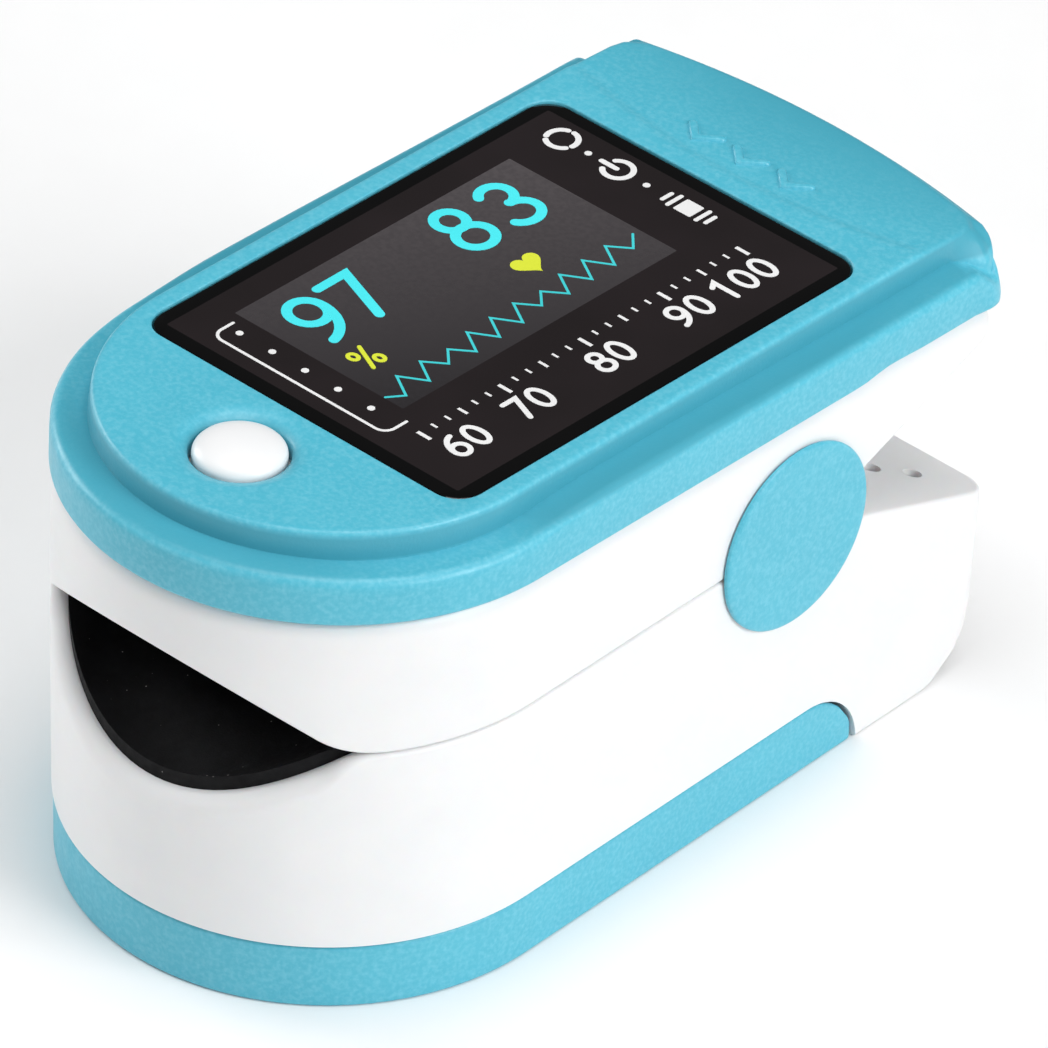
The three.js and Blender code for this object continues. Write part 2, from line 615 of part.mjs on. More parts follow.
function makeMainBoard() {
  const board = alongZ(plan(13.5, 22, 3), PCB_BOTTOM_Z, PCB_TOP_Z);
  return cut(board, ...PCB_SCREWS.map(([x, y]) => alongZ(circle(x, y, 0.85), 20, 30, 3)));
}

function displayBlock(margin, z0, z1) {
  return block(
    DISPLAY_X - DISPLAY_HALF_W - margin, DISPLAY_X + DISPLAY_HALF_W + margin,
    DISPLAY_Y - DISPLAY_HALF_L - margin, DISPLAY_Y + DISPLAY_HALF_L + margin, z0, z1);
}

function makeDisplayHolder() {
  const frame = displayBlock(0.6, PCB_TOP_Z + 0.05, DISPLAY_TOP_Z - 0.4);
  return cut(frame, displayBlock(0.15, 28.1, 30), displayBlock(-1, 26, 30));
}

// Flex ribbon from the photodiode board, up between the knuckles, to the main board.
function makeFlexCable() {
  const half = 0.09;
  const route = new THREE.CatmullRomCurve3([
    [SENSOR_Y + 4.7, 13.75], [0, 13.75], [5.4, 13.75], [7.6, 15], [7.9, 18.4],
    [9.4, 21.6], [10.2, 24.2], [8.6, 25.5], [6.6, 25.75],
  ].map(([y, z]) => new THREE.Vector3(0, y, z)));
  const points = route.getSpacedPoints(26);
  const upperSide = [];
  const lowerSide = [];
  points.forEach((point, i) => {
    const tangent = route.getTangentAt(i / 26);
    upperSide.push([point.y - tangent.z * half, point.z + tangent.y * half]);
    lowerSide.unshift([point.y + tangent.z * half, point.z - tangent.y * half]);
  });
  return alongX(polygon(upperSide.concat(lowerSide)), -2.5, 2.5);
}

// ---- scene graph ----------------------------------------------------------------

const group = new THREE.Group();
const lowerParts = new THREE.Group();
lowerParts.position.y = -MIDDLE_Y;
group.add(lowerParts);
const upperJaw = new THREE.Group();
upperJaw.position.set(0, HINGE_Y, HINGE_Z);
upperJaw.rotation.x = -UPPER_TILT;
const upperParts = new THREE.Group();
upperParts.position.set(0, -HINGE_Y, -HINGE_Z);
upperJaw.add(upperParts);
lowerParts.add(upperJaw);

function place(parent, name, shape, finish, position = [0, 0, 0], rotation = [0, 0, 0]) {
  const geometry = shape.isBufferGeometry ? shape : toGeometry(shape);
  const mesh = new THREE.Mesh(geometry, finish);
  mesh.name = name;
  mesh.position.set(...position);
  mesh.rotation.set(...rotation);
  parent.add(mesh);
}

const QUARTER = Math.PI / 2;

place(lowerParts, "lower_shell", makeLowerShell(), WHITE);
place(lowerParts, "battery_door", makeBatteryDoor(), BLUE);
place(lowerParts, "battery_tray", makeBatteryTray(), WHITE);
place(lowerParts, "lower_finger_pad", makeLowerPad(), SILICONE);
place(lowerParts, "sensor_pcb", block(-5.2, 5.2, SENSOR_Y - 4.2, SENSOR_Y + 4.2, 13.9, 14.5), BOARD);
place(lowerParts, "photodiode", block(-2.2, 2.2, SENSOR_Y - 2, SENSOR_Y + 2, 14.55, 15.2), CHIP);
place(lowerParts, "sensor_window",
  block(-3.5, 3.5, SENSOR_Y - 3, SENSOR_Y + 3, 15.25, 16.0), CLEAR);

place(lowerParts, "battery_left", makeCell(1), CELL, [-CELL_X, CELL_REAR_Y - CELL_BODY - CELL_NUB, CELL_Z]);
place(lowerParts, "battery_right", makeCell(-1), CELL,
  [CELL_X, CELL_FRONT_Y + CELL_BODY + CELL_NUB, CELL_Z]);
place(lowerParts, "contact_bridge",
  block(-8.4, 8.4, CELL_FRONT_Y - 0.4, CELL_FRONT_Y - 0.05, 3.2, 10.2), NICKEL);
[["left", -1], ["right", 1]].forEach(([side, sign]) => {
  const middle = sign * (CELL_X + 0.05);
  place(lowerParts, `contact_rear_${side}`,
    block(middle - 3.6, middle + 3.6, CELL_REAR_Y + 0.05, CELL_REAR_Y + 0.4, 4.6, 10.6), NICKEL);
});
place(lowerParts, "battery_spring_front", makeContactSpring(2.45), STEEL,
  [-CELL_X, CELL_FRONT_Y + 0.25, CELL_Z]);
place(lowerParts, "battery_spring_rear", makeContactSpring(2.3), STEEL,
  [CELL_X, CELL_REAR_Y - 0.25, CELL_Z], [Math.PI, 0, 0]);
TRAY_SCREWS.forEach(([x, y], i) => {
  place(lowerParts, `tray_screw_${i + 1}`, makeScrew(1.3, 0.7, 0.6, 3.4), STEEL,
    [x, y, TRAY_BOTTOM_Z - 0.05], [Math.PI, 0, 0]);
});

[["left", -1], ["right", 1]].forEach(([side, sign]) => {
  place(lowerParts, `hinge_pin_${side}`,
    new THREE.CylinderGeometry(PIN_R, PIN_R, 7.2, 12), STEEL,
    [sign * 12.25, HINGE_Y, HINGE_Z], [0, 0, QUARTER]);
  place(lowerParts, `side_cap_${side}`, makeSideCap(), BLUE,
    [sign * BODY_HALF_W, HINGE_Y, HINGE_Z], [0, 0, -sign * QUARTER]);
  place(lowerParts, `torsion_spring_${side}`, makeTorsionSpring(sign), STEEL,
    [sign * 9.7, HINGE_Y, HINGE_Z]);
});
place(lowerParts, "flex_cable", makeFlexCable(), FLEX);

place(upperParts, "upper_shell", makeUpperShell(), WHITE);
place(upperParts, "upper_finger_pad", makeUpperPad(), SILICONE);
place(upperParts, "led_window",
  block(-3, 3, SENSOR_Y - 3, SENSOR_Y + 3, ARCH_CENTRE_Z + ARCH_R, 23.4), CLEAR);
place(upperParts, "led_emitter", block(-2, 2, SENSOR_Y - 2, SENSOR_Y + 2, 23.45, 24.6), CHIP);
place(upperParts, "main_pcb", makeMainBoard(), BOARD);
place(upperParts, "mcu_chip", block(-3.5, 3.5, 12.4, 19.4, 24.9, 25.95), CHIP);
place(upperParts, "amplifier_chip", block(5.4, 9.4, 8, 13, 25, 25.95), CHIP);
place(upperParts, "crystal", block(-9, -5.8, 14, 19, 25, 25.95), NICKEL);
place(upperParts, "display_holder", makeDisplayHolder(), WHITE);
place(upperParts, "display_panel", displayBlock(0, 28.15, DISPLAY_TOP_Z), CHIP);
place(upperParts, "tact_switch",
  block(-2.2, 2.2, BUTTON_Y - 2.2, BUTTON_Y + 2.2, PCB_TOP_Z + 0.05, 28.4).subtract(
    alongZ(circle(0, BUTTON_Y, 1.05), 27.5, 30, 4)), CHIP);
PCB_SCREWS.forEach(([x, y], i) => {
  place(upperParts, `pcb_screw_${i + 1}`, makeScrew(1.3, 0.7, 0.6, 3.4), STEEL,
    [x, y, PCB_TOP_Z + 0.05]);
});
place(upperParts, "top_cover", makeTopCover(), BLUE);
place(upperParts, "display_window", alongZ(windowShape(-0.1), LENS_BOTTOM_Z, LENS_TOP_Z, 3), LENS);
place(upperParts, "power_button", makeButton(), WHITE, [0, BUTTON_Y, 0]);
place(upperParts, "switch_plunger",
  new THREE.CylinderGeometry(0.8, 0.8, 0.85, 10), CHIP, [0, BUTTON_Y, 28.47], [QUARTER, 0, 0]);

export default group;
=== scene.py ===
"""Fingertip pulse oximeter: shells, pads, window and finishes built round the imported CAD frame.

Shapes are worked out in millimetres, in the frame's own axes, and become metres when a mesh is made.
Upper-jaw shapes are drawn level and then turned down by the small angle of the closed jaw."""
import json
import math

import bmesh
import bpy
import numpy as np
from mathutils import Matrix, Vector
from mathutils.geometry import delaunay_2d_cdt


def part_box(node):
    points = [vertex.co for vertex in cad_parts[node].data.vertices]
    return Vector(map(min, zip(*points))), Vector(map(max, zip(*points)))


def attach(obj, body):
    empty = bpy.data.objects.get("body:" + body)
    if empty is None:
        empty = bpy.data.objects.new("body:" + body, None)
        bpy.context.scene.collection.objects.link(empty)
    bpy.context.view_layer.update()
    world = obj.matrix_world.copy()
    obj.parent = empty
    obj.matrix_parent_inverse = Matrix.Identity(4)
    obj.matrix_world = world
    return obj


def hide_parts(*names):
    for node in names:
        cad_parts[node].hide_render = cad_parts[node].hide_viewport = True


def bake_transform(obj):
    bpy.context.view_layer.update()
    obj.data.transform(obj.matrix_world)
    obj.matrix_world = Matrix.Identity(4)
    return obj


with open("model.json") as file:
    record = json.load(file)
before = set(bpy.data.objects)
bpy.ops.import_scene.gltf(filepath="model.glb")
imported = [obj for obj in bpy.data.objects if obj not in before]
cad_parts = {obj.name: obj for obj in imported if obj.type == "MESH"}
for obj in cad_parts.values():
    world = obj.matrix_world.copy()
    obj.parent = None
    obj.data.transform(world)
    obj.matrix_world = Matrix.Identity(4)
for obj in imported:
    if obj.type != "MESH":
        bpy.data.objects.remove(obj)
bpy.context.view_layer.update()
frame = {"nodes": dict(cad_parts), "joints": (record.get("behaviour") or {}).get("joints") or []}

MM = 0.001

# ---- sizes taken from the frame, in millimetres ----------------------------------


def corners(node):
    """Low and high corner of a node's box."""
    low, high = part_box(node)
    return low / MM, high / MM


def joint(name):
    return next(j for j in frame["joints"] if j["name"] == name)


HINGE_Y = joint("jaw_hinge")["pos_m"][1] / MM
HINGE_Z = joint("jaw_hinge")["pos_m"][2] / MM
TILT = math.asin(-joint("button_press")["axis"][1])

BODY_W = corners("lower_shell")[1].x
REAR_Y = corners("lower_shell")[1].y
NOSE_Y = corners("lower_shell")[0].y + BODY_W
RIM_W = corners("top_cover")[1].x
DOOR_W = corners("battery_door")[1].x
DOOR_TOP_Z = corners("battery_door")[1].z
DOOR_END_Y = corners("battery_door")[1].y - 2
SENSOR_Y = (corners("sensor_window")[0].y + corners("sensor_window")[1].y) / 2
CAP_R = (corners("side_cap_right")[1].z - corners("side_cap_right")[0].z) / 2
CAP_OUT_X = corners("side_cap_right")[1].x
PAD_END_Y = corners("lower_finger_pad")[1].y

# ---- sizes of the visible shapes, with places along the device counted from the hinge ----

SIDES = (("left", -1), ("right", 1))
WALL = 1.6
PART_Z = 18.6            # where the closed jaws meet
PART_GAP = 0.15
DECK_Y = HINGE_Y + 1.25  # the lower jaw's rear deck falls away from here
DECK_SLOPE = 0.3652
LEVER_Y = HINGE_Y + 1.91  # the upper jaw's rear underside rises from here
LEVER_SLOPE = 0.3684
REAR_CORNER_R = 2.0
LEAN_Y = 17.0            # the rear wall's lean fades out towards here along the sides
BAY_W = 13.5             # half width of the room for the cells
CAVITY_W = 14.8          # half width of the room above them
SKIRT_W = 14.6           # half width of the wall that stays inside the battery door
FLOOR_Z = 1.3            # inside face of the battery door
REAR_FILLET_R = 4.6
REAR_FILLET_Y = REAR_Y - 5.1

DOOR_BEND_R = 4.6        # the door's top edge turns down to its rear end

LIP_INSET = 1.1          # from the nose to the front edge of the finger pad
LIP_Z = 13.4
LIP_CURVE = 0.036
LIP_DROP = 1.4
BED_Z = 15.0
BED_RISE = 3.1
BED_W = 12.0
BED_BLEND = 6.0
PAD_THICK = 1.0

ARCH_R = 16.5
ARCH_Z = 6.07
ARCH_FILLET = 4.5
ARCH_END_Y = PAD_END_Y + 0.2

COVER_REAR_Y = HINGE_Y + 20.55
UPPER_REAR_Y = COVER_REAR_Y - 0.4
COVER_CORNER_R = 2.0
REAR_BULGE_R = 58.0
RIM_BOTTOM_Z = 26.94
TOP_Z = 31.9
STEP_PAINTED_SHADE = (30.2, 31.75)  # heights between which painted shade darkens the cover's step groove
RIM_FALL = 0.32          # how far the rim sinks below the top towards both ends
CREASE_R = 50.0          # plan radius of the crease in front of the push area
CREASE_Y = HINGE_Y + 10.9
PUSH_FALL = 0.04

WINDOW_Y = HINGE_Y - 8.3
WINDOW_W = 12.87
WINDOW_L = 17.65
WINDOW_CORNER = 1.8
LENS_BOTTOM_Z = 30.95
LENS_TOP_Z = 31.78
PANEL_MARGIN = 1.15
MARKS_AT = (0.19, HINGE_Y - 9.97)  # where the printed marks count their places from
SCREEN = ((-9.76, WINDOW_Y - 12.76), (3.84, WINDOW_Y + 10.94))

BUTTON_Y = NOSE_Y - 7.97
BUTTON_R = 2.83
BUTTON_TOP_Z = 32.36

LUG_R = 5.4
KNUCKLE_R = 4.6
KNUCKLE_BORE_R = 3.2
KNUCKLE_X = (5.5, 14.5)
PIN_HOLE_R = 1.15

# ---- small tools --------------------------------------------------------------------


def smooth(start, end, value):
    """0 before start, 1 after end, and an even bend between them."""
    t = np.clip((np.asarray(value, float) - start) / (end - start), 0, 1)
    return t * t * (3 - 2 * t)


def soft_min(a, b, width):
    """The lower of two heights, with the corner between them rounded over width."""
    h = np.clip(0.5 + 0.5 * (b - a) / width, 0, 1)
    return b + (a - b) * h - width * h * (1 - h)


def arc(x, y, radius, start, end, steps):
    angles = np.linspace(start, end, steps + 1)
    return np.column_stack((x + radius * np.cos(angles), y + radius * np.sin(angles)))


def turned_down(point):
    """A point of the level upper jaw, in the closed device."""
    x, y, z = point
    dy, dz = y - HINGE_Y, z - HINGE_Z
    return (
        x,
        HINGE_Y + dy * math.cos(TILT) + dz * math.sin(TILT),
        HINGE_Z + dz * math.cos(TILT) - dy * math.sin(TILT),
    )


def outline(half_w, rear_y, corner_r, bulge_r=1e5):
    """Plan of a jaw, anticlockwise from the left end of its round nose."""
    corner_r = max(corner_r, 0.25)
    x = half_w - corner_r
    reach = bulge_r - corner_r
    tilt = math.asin(x / reach)
    y = rear_y - bulge_r + math.sqrt(reach**2 - x**2)
    side_y = np.linspace(NOSE_Y, y, 41)[1:-1]
    side = np.column_stack((np.full(len(side_y), half_w), side_y))
    quarter = math.pi / 2
    return np.vstack((
        arc(0, NOSE_Y, half_w, math.pi, 2 * math.pi, 112),
        side,
        arc(x, y, corner_r, 0, quarter - tilt, 12),
        arc(0, rear_y - bulge_r, bulge_r, quarter - tilt, quarter + tilt, 28)[1:-1],
        arc(-x, y, corner_r, quarter + tilt, math.pi, 12),
        (side * (-1, 1))[::-1],
    ))


def rectangle(half_x, half_y, radius, y=0.0, x=0.0, steps=8):
    """Rounded rectangle, anticlockwise, about (x, y)."""
    quarter = math.pi / 2
    loops = []
    for turn, (sx, sy) in enumerate(((1, -1), (1, 1), (-1, 1), (-1, -1))):
        start = (turn - 1) * quarter
        loops.append(arc(
            x + sx * (half_x - radius), y + sy * (half_y - radius), radius, start, start + quarter, steps))
    return np.vstack(loops)


def circle(radius, x=0.0, y=0.0, steps=48):
    return arc(x, y, radius, 0, 2 * math.pi, steps)[:-1]


def inside(points, loop):
    """Which of the points lie inside the closed loop."""
    x, y = points[:, 0][:, None], points[:, 1][:, None]
    ax, ay = loop[:, 0], loop[:, 1]
    bx, by = np.roll(ax, -1), np.roll(ay, -1)
    spans = (ay > y) != (by > y)
    with np.errstate(divide="ignore", invalid="ignore"):
        crossing = ax + (y - ay) / (by - ay) * (bx - ax)
    return (spans & (x < crossing)).sum(axis=1) % 2 == 1


def grid(x0, x1, y0, y1, step_x, step_y):
    xs = np.linspace(x0, x1, max(2, round((x1 - x0) / step_x)))
    ys = np.linspace(y0, y1, max(2, round((y1 - y0) / step_y)))
    return np.array([(x, y) for x in xs for y in ys])


class Solid:
    """Closed surfaces gathered point by point, then made into one mesh."""

    def __init__(self):
        self.points = []
        self.faces = []
        self.finishes = []
        self.finish = 0

    def face(self, *ids):
        self.faces.append(tuple(ids))
        self.finishes.append(self.finish)

    def ring(self, plan, z):
        """Adds a loop of points on a plan, at one height or at a height for each."""
        start = len(self.points)
        heights = np.broadcast_to(z, len(plan))
        self.points += [(float(p[0]), float(p[1]), float(h)) for p, h in zip(plan, heights)]
        return list(range(start, start + len(plan)))

    def loop(self, points):
        start = len(self.points)
        self.points += [tuple(map(float, p)) for p in points]
        return list(range(start, start + len(points)))

    def join(self, low, high):
        """Bridges two loops of the same length."""
        count = len(low)
        for i in range(count):
            j = (i + 1) % count
            self.face(low[i], low[j], high[j], high[i])

    def stack(self, rings):
        for low, high in zip(rings, rings[1:]):
            self.join(low, high)

    def capped(self, rings):
        """Joins the rings in turn and closes the first and the last."""
        self.stack(rings)
        self.face(*rings[0][::-1])
        self.face(*rings[-1])

    def fan(self, ring, point):
        centre = self.loop([point])[0]
        for i, j in zip(ring, ring[1:] + ring[:1]):
            self.face(i, j, centre)

    def sheet(self, outer, holes=(), extra=(), height=None, clearance=0.3):
        """Fills the space between a loop and its holes, bent to height(x, y)."""
        flat = np.array([self.points[i][:2] for loop in (outer, *holes) for i in loop])
        ids = [i for loop in (outer, *holes) for i in loop]
        borders, start = [], 0
        for loop in (outer, *holes):
            count = len(loop)
            borders += [(start + k, start + (k + 1) % count) for k in range(count)]
            start += count
        hole_loops = [np.array([self.points[i][:2] for i in hole]) for hole in holes]
        coords = [Vector(p) for p in flat]
        if len(extra):
            extra = np.asarray(extra, float)
            keep = inside(extra, flat[: len(outer)])
            for hole in hole_loops:
                keep &= ~inside(extra, hole)
            extra = extra[keep]
            gaps = np.array([np.hypot(*(flat - p).T).min() for p in extra])
            extra = extra[gaps > clearance]
            heights = height(extra[:, 0], extra[:, 1])
            coords += [Vector(p) for p in extra]
            ids += self.loop(np.column_stack((extra, heights)))
        made, _, triangles, origin, _, _ = delaunay_2d_cdt(coords, borders, [], 1, 1e-7)
        places = np.array([(v.x, v.y) for v in made])
        centres = np.array([places[list(t)].mean(axis=0) for t in triangles])
        keep = np.ones(len(triangles), bool)
        for hole in hole_loops:
            keep &= ~inside(centres, hole)
        for kept, triangle in zip(keep, triangles):
            if kept:
                self.face(*[ids[origin[v][0]] for v in triangle])

    def lathe(self, profile, axis, centre, steps=96):
        """Turns (radius, distance along the axis) points; the profile starts and ends on the axis."""
        along = {"x": 0, "y": 1, "z": 2}[axis]
        first, second = [(1, 2), (2, 0), (0, 1)][along]
        turns = np.linspace(0, 2 * math.pi, steps, endpoint=False)
        rings = []
        for radius, distance in profile:
            count = 1 if radius == 0 else steps
            points = np.zeros((count, 3)) + np.array(centre, float)
            points[:, along] += distance
            if radius:
                points[:, first] += radius * np.cos(turns)
                points[:, second] += radius * np.sin(turns)
            rings.append(self.loop(points))
        for low, high in zip(rings, rings[1:]):
            if len(low) == 1 and len(high) == 1:
                continue
            if len(low) == 1:
                for i, j in zip(high, high[1:] + high[:1]):
                    self.face(low[0], j, i)
            elif len(high) == 1:
                for i, j in zip(low, low[1:] + low[:1]):
                    self.face(i, j, high[0])
            else:
                self.join(low, high)

    def tube(self, path, radius, sides=12):
        """Round wire along a path, with closed ends."""
        path = np.array(path, float)
        tangents = np.gradient(path, axis=0)
        tangents /= np.linalg.norm(tangents, axis=1)[:, None]
        normal = np.cross(tangents[0], (0.31, 0.17, 0.93))
        turns = np.linspace(0, 2 * math.pi, sides, endpoint=False)
        rings = []
        for point, tangent in zip(path, tangents):
            normal = normal - tangent * np.dot(normal, tangent)
            normal /= np.linalg.norm(normal)
            side = np.cross(tangent, normal)
            rings.append(self.loop([
                point + radius * (math.cos(a) * normal + math.sin(a) * side) for a in turns]))
        self.stack(rings)
        self.fan(rings[0][::-1], path[0])
        self.fan(rings[-1], path[-1])

    def slab(self, plan, low, high, edge=0.0):
        """Straight solid on a plan, with its top edge rounded off by edge."""
        centre = np.mean(plan, axis=0)
        rings = [self.ring(plan, low), self.ring(plan, high - edge)]
        if edge:
            span = np.abs(plan - centre).max()
            for share, drop in ((0.3 * edge, 0.3 * edge), (edge, 0)):
                rings.append(self.ring(centre + (plan - centre) * (1 - share / span), high - drop))
        self.capped(rings)

    def mesh(self, name, turn=False):
        """Makes the mesh; turn brings points of the level upper jaw to the closed device."""
        points = [turned_down(p) for p in self.points] if turn else self.points
        data = bpy.data.meshes.new(name)
        data.from_pydata([[c * MM for c in p] for p in points], [], self.faces)
        data.polygons.foreach_set("material_index", self.finishes)
        work = bmesh.new()
        work.from_mesh(data)
        bmesh.ops.delete(work, geom=[v for v in work.verts if not v.link_faces], context="VERTS")
        bmesh.ops.recalc_face_normals(work, faces=work.faces)
        work.to_mesh(data)
        work.free()
        piece = bpy.data.objects.new(name, data)
        bpy.context.scene.collection.objects.link(piece)
        return piece


def prism(axis, plan, low, high, turn=False):
    """Straight cutter: the plan is (y, z) along x, (x, z) along y and (x, y) along z."""
    solid = Solid()
    order = {"x": (2, 0, 1), "y": (0, 2, 1), "z": (0, 1, 2)}[axis]
    rings = []
    for distance in (low, high):
        points = np.column_stack((plan, np.full(len(plan), distance)))
        rings.append(solid.loop(points[:, order]))
    solid.stack(rings)
    solid.face(*rings[0])
    solid.face(*rings[1])
    return solid.mesh("cutter", turn)


def settle(piece):
    """Turns a piece's modifiers into its mesh."""
    bpy.context.view_layer.update()
    graph = bpy.context.evaluated_depsgraph_get()
    made = bpy.data.meshes.new_from_object(piece.evaluated_get(graph))
    piece.modifiers.clear()
    piece.data = made


def carve(piece, *tools, operation="DIFFERENCE"):
    """Cuts the tools from the piece, or keeps what they share with it, and removes them."""
    for tool in tools:
        change = piece.modifiers.new("carve", "BOOLEAN")
        change.operation = operation
        change.solver = "EXACT"
        change.object = tool
    settle(piece)
    for tool in tools:
        bpy.data.objects.remove(tool)
    return piece


def round_edges(piece, width, angle=40, segments=3):
    change = piece.modifiers.new("edges", "BEVEL")
    change.width = width * MM
    change.segments = segments
    change.limit_method = "ANGLE"
    change.angle_limit = math.radians(angle)
    change.miter_outer = "MITER_ARC"
    return piece


def finish_piece(piece, body, materials, replaces=(), sharp=38):
    """Shades a piece, gives it its materials and puts it on its body."""
    settle(piece)
    piece.data.shade_smooth()
    piece.data.set_sharp_from_angle(angle=math.radians(sharp))
    finishes = [face.material_index for face in piece.data.polygons]
    piece.data.materials.clear()
    for material in materials:
        piece.data.materials.append(material)
    piece.data.polygons.foreach_set("material_index", finishes)
    weights = piece.modifiers.new("shading", "WEIGHTED_NORMAL")
    weights.keep_sharp = True
    if body:
        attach(piece, body)
    if replaces:
        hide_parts(*replaces)
    return piece


# ---- materials ------------------------------------------------------------------------


class Finish:
    """A principled material with its own small node helpers."""

    def __init__(self, name, **sockets):
        self.material = bpy.data.materials.new(name)
        self.material.use_nodes = True
        self.tree = self.material.node_tree
        self.shader = self.tree.nodes["Principled BSDF"]
        self.place = self.tree.nodes.new("ShaderNodeTexCoord").outputs["Object"]
        for socket, value in sockets.items():
            self.shader.inputs[socket.replace("_", " ")].default_value = value

    def link(self, source, target):
        self.tree.links.new(source, target)

    def axis(self, name):
        node = self.tree.nodes.new("ShaderNodeSeparateXYZ")
        self.link(self.place, node.inputs["Vector"])
        return node.outputs[name]

    def maths(self, operation, *values):
        node = self.tree.nodes.new("ShaderNodeMath")
        node.operation = operation
        for value, socket in zip(values, node.inputs):
            if isinstance(value, float):
                socket.default_value = value
            else:
                self.link(value, socket)
        return node.outputs["Value"]

    def noise(self, size, detail=2.0, stretch=None):
        """Noise with features of that size in millimetres."""
        node = self.tree.nodes.new("ShaderNodeTexNoise")
        node.inputs["Scale"].default_value = 1 / (size * MM)
        node.inputs["Detail"].default_value = detail
        source = self.place
        if stretch:
            mapping = self.tree.nodes.new("ShaderNodeMapping")
            mapping.inputs["Scale"].default_value = stretch
            self.link(self.place, mapping.inputs["Vector"])
            source = mapping.outputs["Vector"]
        self.link(source, node.inputs["Vector"])
        return node.outputs["Fac"]

    def cells(self, size):
        node = self.tree.nodes.new("ShaderNodeTexVoronoi")
        node.inputs["Scale"].default_value = 1 / (size * MM)
        self.link(self.place, node.inputs["Vector"])
        return node.outputs["Distance"]

    def span(self, source, low, high, start=0.3, end=0.7):
        node = self.tree.nodes.new("ShaderNodeMapRange")
        node.inputs["From Min"].default_value = start
        node.inputs["From Max"].default_value = end
        node.inputs["To Min"].default_value = low
        node.inputs["To Max"].default_value = high
        self.link(source, node.inputs["Value"])
        return node.outputs["Result"]

    def mix(self, factor, first, second):
        node = self.tree.nodes.new("ShaderNodeMix")
        node.data_type = "RGBA"
        self.link(factor, node.inputs["Factor"])
        for value, socket in ((first, node.inputs["A"]), (second, node.inputs["B"])):
            if isinstance(value, tuple):
                socket.default_value = (*value, 1)
            else:
                self.link(value, socket)
        return node.outputs["Result"]

    def colour(self, source):
        self.link(source, self.shader.inputs["Base Color"])

    def roughness(self, size, low, high, detail=3.0):
        self.link(self.span(self.noise(size, detail), low, high), self.shader.inputs["Roughness"])

    def bumps(self, *layers):
        """Layers of (height output, depth in millimetres)."""
        normal = None
        for height, depth in layers:
            node = self.tree.nodes.new("ShaderNodeBump")
            node.inputs["Distance"].default_value = depth * MM
            node.inputs["Strength"].default_value = 1
            self.link(height, node.inputs["Height"])
            if normal:
                self.link(normal, node.inputs["Normal"])
            normal = node.outputs["Normal"]
        self.link(normal, self.shader.inputs["Normal"])


def painted_step_shade(finish, low, high):
    """Mask of the painted shade in the cover's step groove: 1 between two heights of the level upper jaw,
    fading to 0 below and above them.
    """
    fall = math.tan(TILT)
    low, high = low + HINGE_Y * fall, high + HINGE_Y * fall
    level = finish.maths("MULTIPLY_ADD", finish.axis("Y"), fall, finish.axis("Z"))
    above = finish.span(level, 0, 1, (low - 0.25) * MM, low * MM)
    below = finish.span(level, 1, 0, (high - 0.35) * MM, high * MM)
    return finish.maths("MULTIPLY", above, below)


def moulded(
        name, light, dark, rough, grain=0.22, depth=0.006, ripple=0.02, speck=None, step=None, **sockets):
    """Moulded plastic: fine spark grain, faint flow mottling and slow shrink ripples.

    Light specks painted on some of the grain stand in for its glints, and painted shade darkens a step
    between its two heights."""
    finish = Finish(name, **sockets)
    shade = finish.mix(finish.span(finish.noise(5.0, 4.0), 0, 1), light, dark)
    # Painted glints: a light colour on some of the grain.
    if speck:
        shade = finish.mix(finish.span(finish.noise(grain * 1.6, 3.0), 0, 0.3, 0.4, 0.75), shade, speck)
    if step:
        # Painted shade: the step groove between the two heights is darkened to 0.8 of the dark tone.
        shade = finish.mix(painted_step_shade(finish, *step), shade, tuple(0.8 * value for value in dark))
    finish.colour(shade)
    finish.roughness(1.4, *rough)
    finish.bumps(
        (finish.noise(grain, 2.0), depth),
        (finish.noise(9.0, 1.0), ripple),
    )
    return finish.material


BLUE_TONES = ((0.082, 0.470, 0.610), (0.074, 0.445, 0.585), (0.32, 0.44))
# Grain of the blue plastic, and the light colour of its painted glints.
BLUE_GRAIN_AND_GLINTS = {"grain": 0.20, "depth": 0.014, "speck": (0.28, 0.68, 0.80)}
BLUE = moulded("satin blue plastic", *BLUE_TONES, **BLUE_GRAIN_AND_GLINTS)
# The cover's blue carries painted shade in its step groove.
COVER_BLUE = moulded("satin blue cover plastic", *BLUE_TONES, step=STEP_PAINTED_SHADE, **BLUE_GRAIN_AND_GLINTS)
WHITE = moulded(
    "satin white plastic", (0.83, 0.835, 0.84), (0.80, 0.81, 0.82), (0.30, 0.42),
    grain=0.26, depth=0.004, Subsurface_Weight=0.12, Subsurface_Scale=0.0012)
INNER_WHITE = moulded("inner white plastic", (0.78, 0.785, 0.79), (0.74, 0.75, 0.76), (0.45, 0.6))
BUTTON = moulded(
    "button white plastic", (0.88, 0.88, 0.88), (0.85, 0.86, 0.87), (0.30, 0.38),
    grain=0.15, depth=0.003, ripple=0.01)
CHIP_BLACK = moulded("moulded epoxy", (0.022, 0.022, 0.025), (0.03, 0.03, 0.033), (0.5, 0.7), grain=0.1)
PHOTO_RED = moulded(
    "red optical filter", (0.20, 0.012, 0.014), (0.16, 0.010, 0.012), (0.05, 0.12), depth=0.001,
    Coat_Weight=0.6, Coat_Roughness=0.05)


def silicone():
    """Matt black rubber with fine pale flecks."""
    finish = Finish("matt black silicone", Specular_IOR_Level=0.12)
    fleck = finish.span(finish.cells(0.9), 1, 0, 0.03, 0.06)
    mottle = finish.span(finish.noise(1.8, 5.0), 0, 1)
    base = finish.mix(mottle, (0.0040, 0.0040, 0.0045), (0.0075, 0.0075, 0.0085))
    finish.colour(finish.mix(fleck, base, (0.30, 0.29, 0.28)))
    finish.roughness(0.6, 0.52, 0.74)
    finish.bumps((finish.noise(0.12, 3.0), 0.012), (finish.noise(1.2, 2.0), 0.02))
    return finish.material


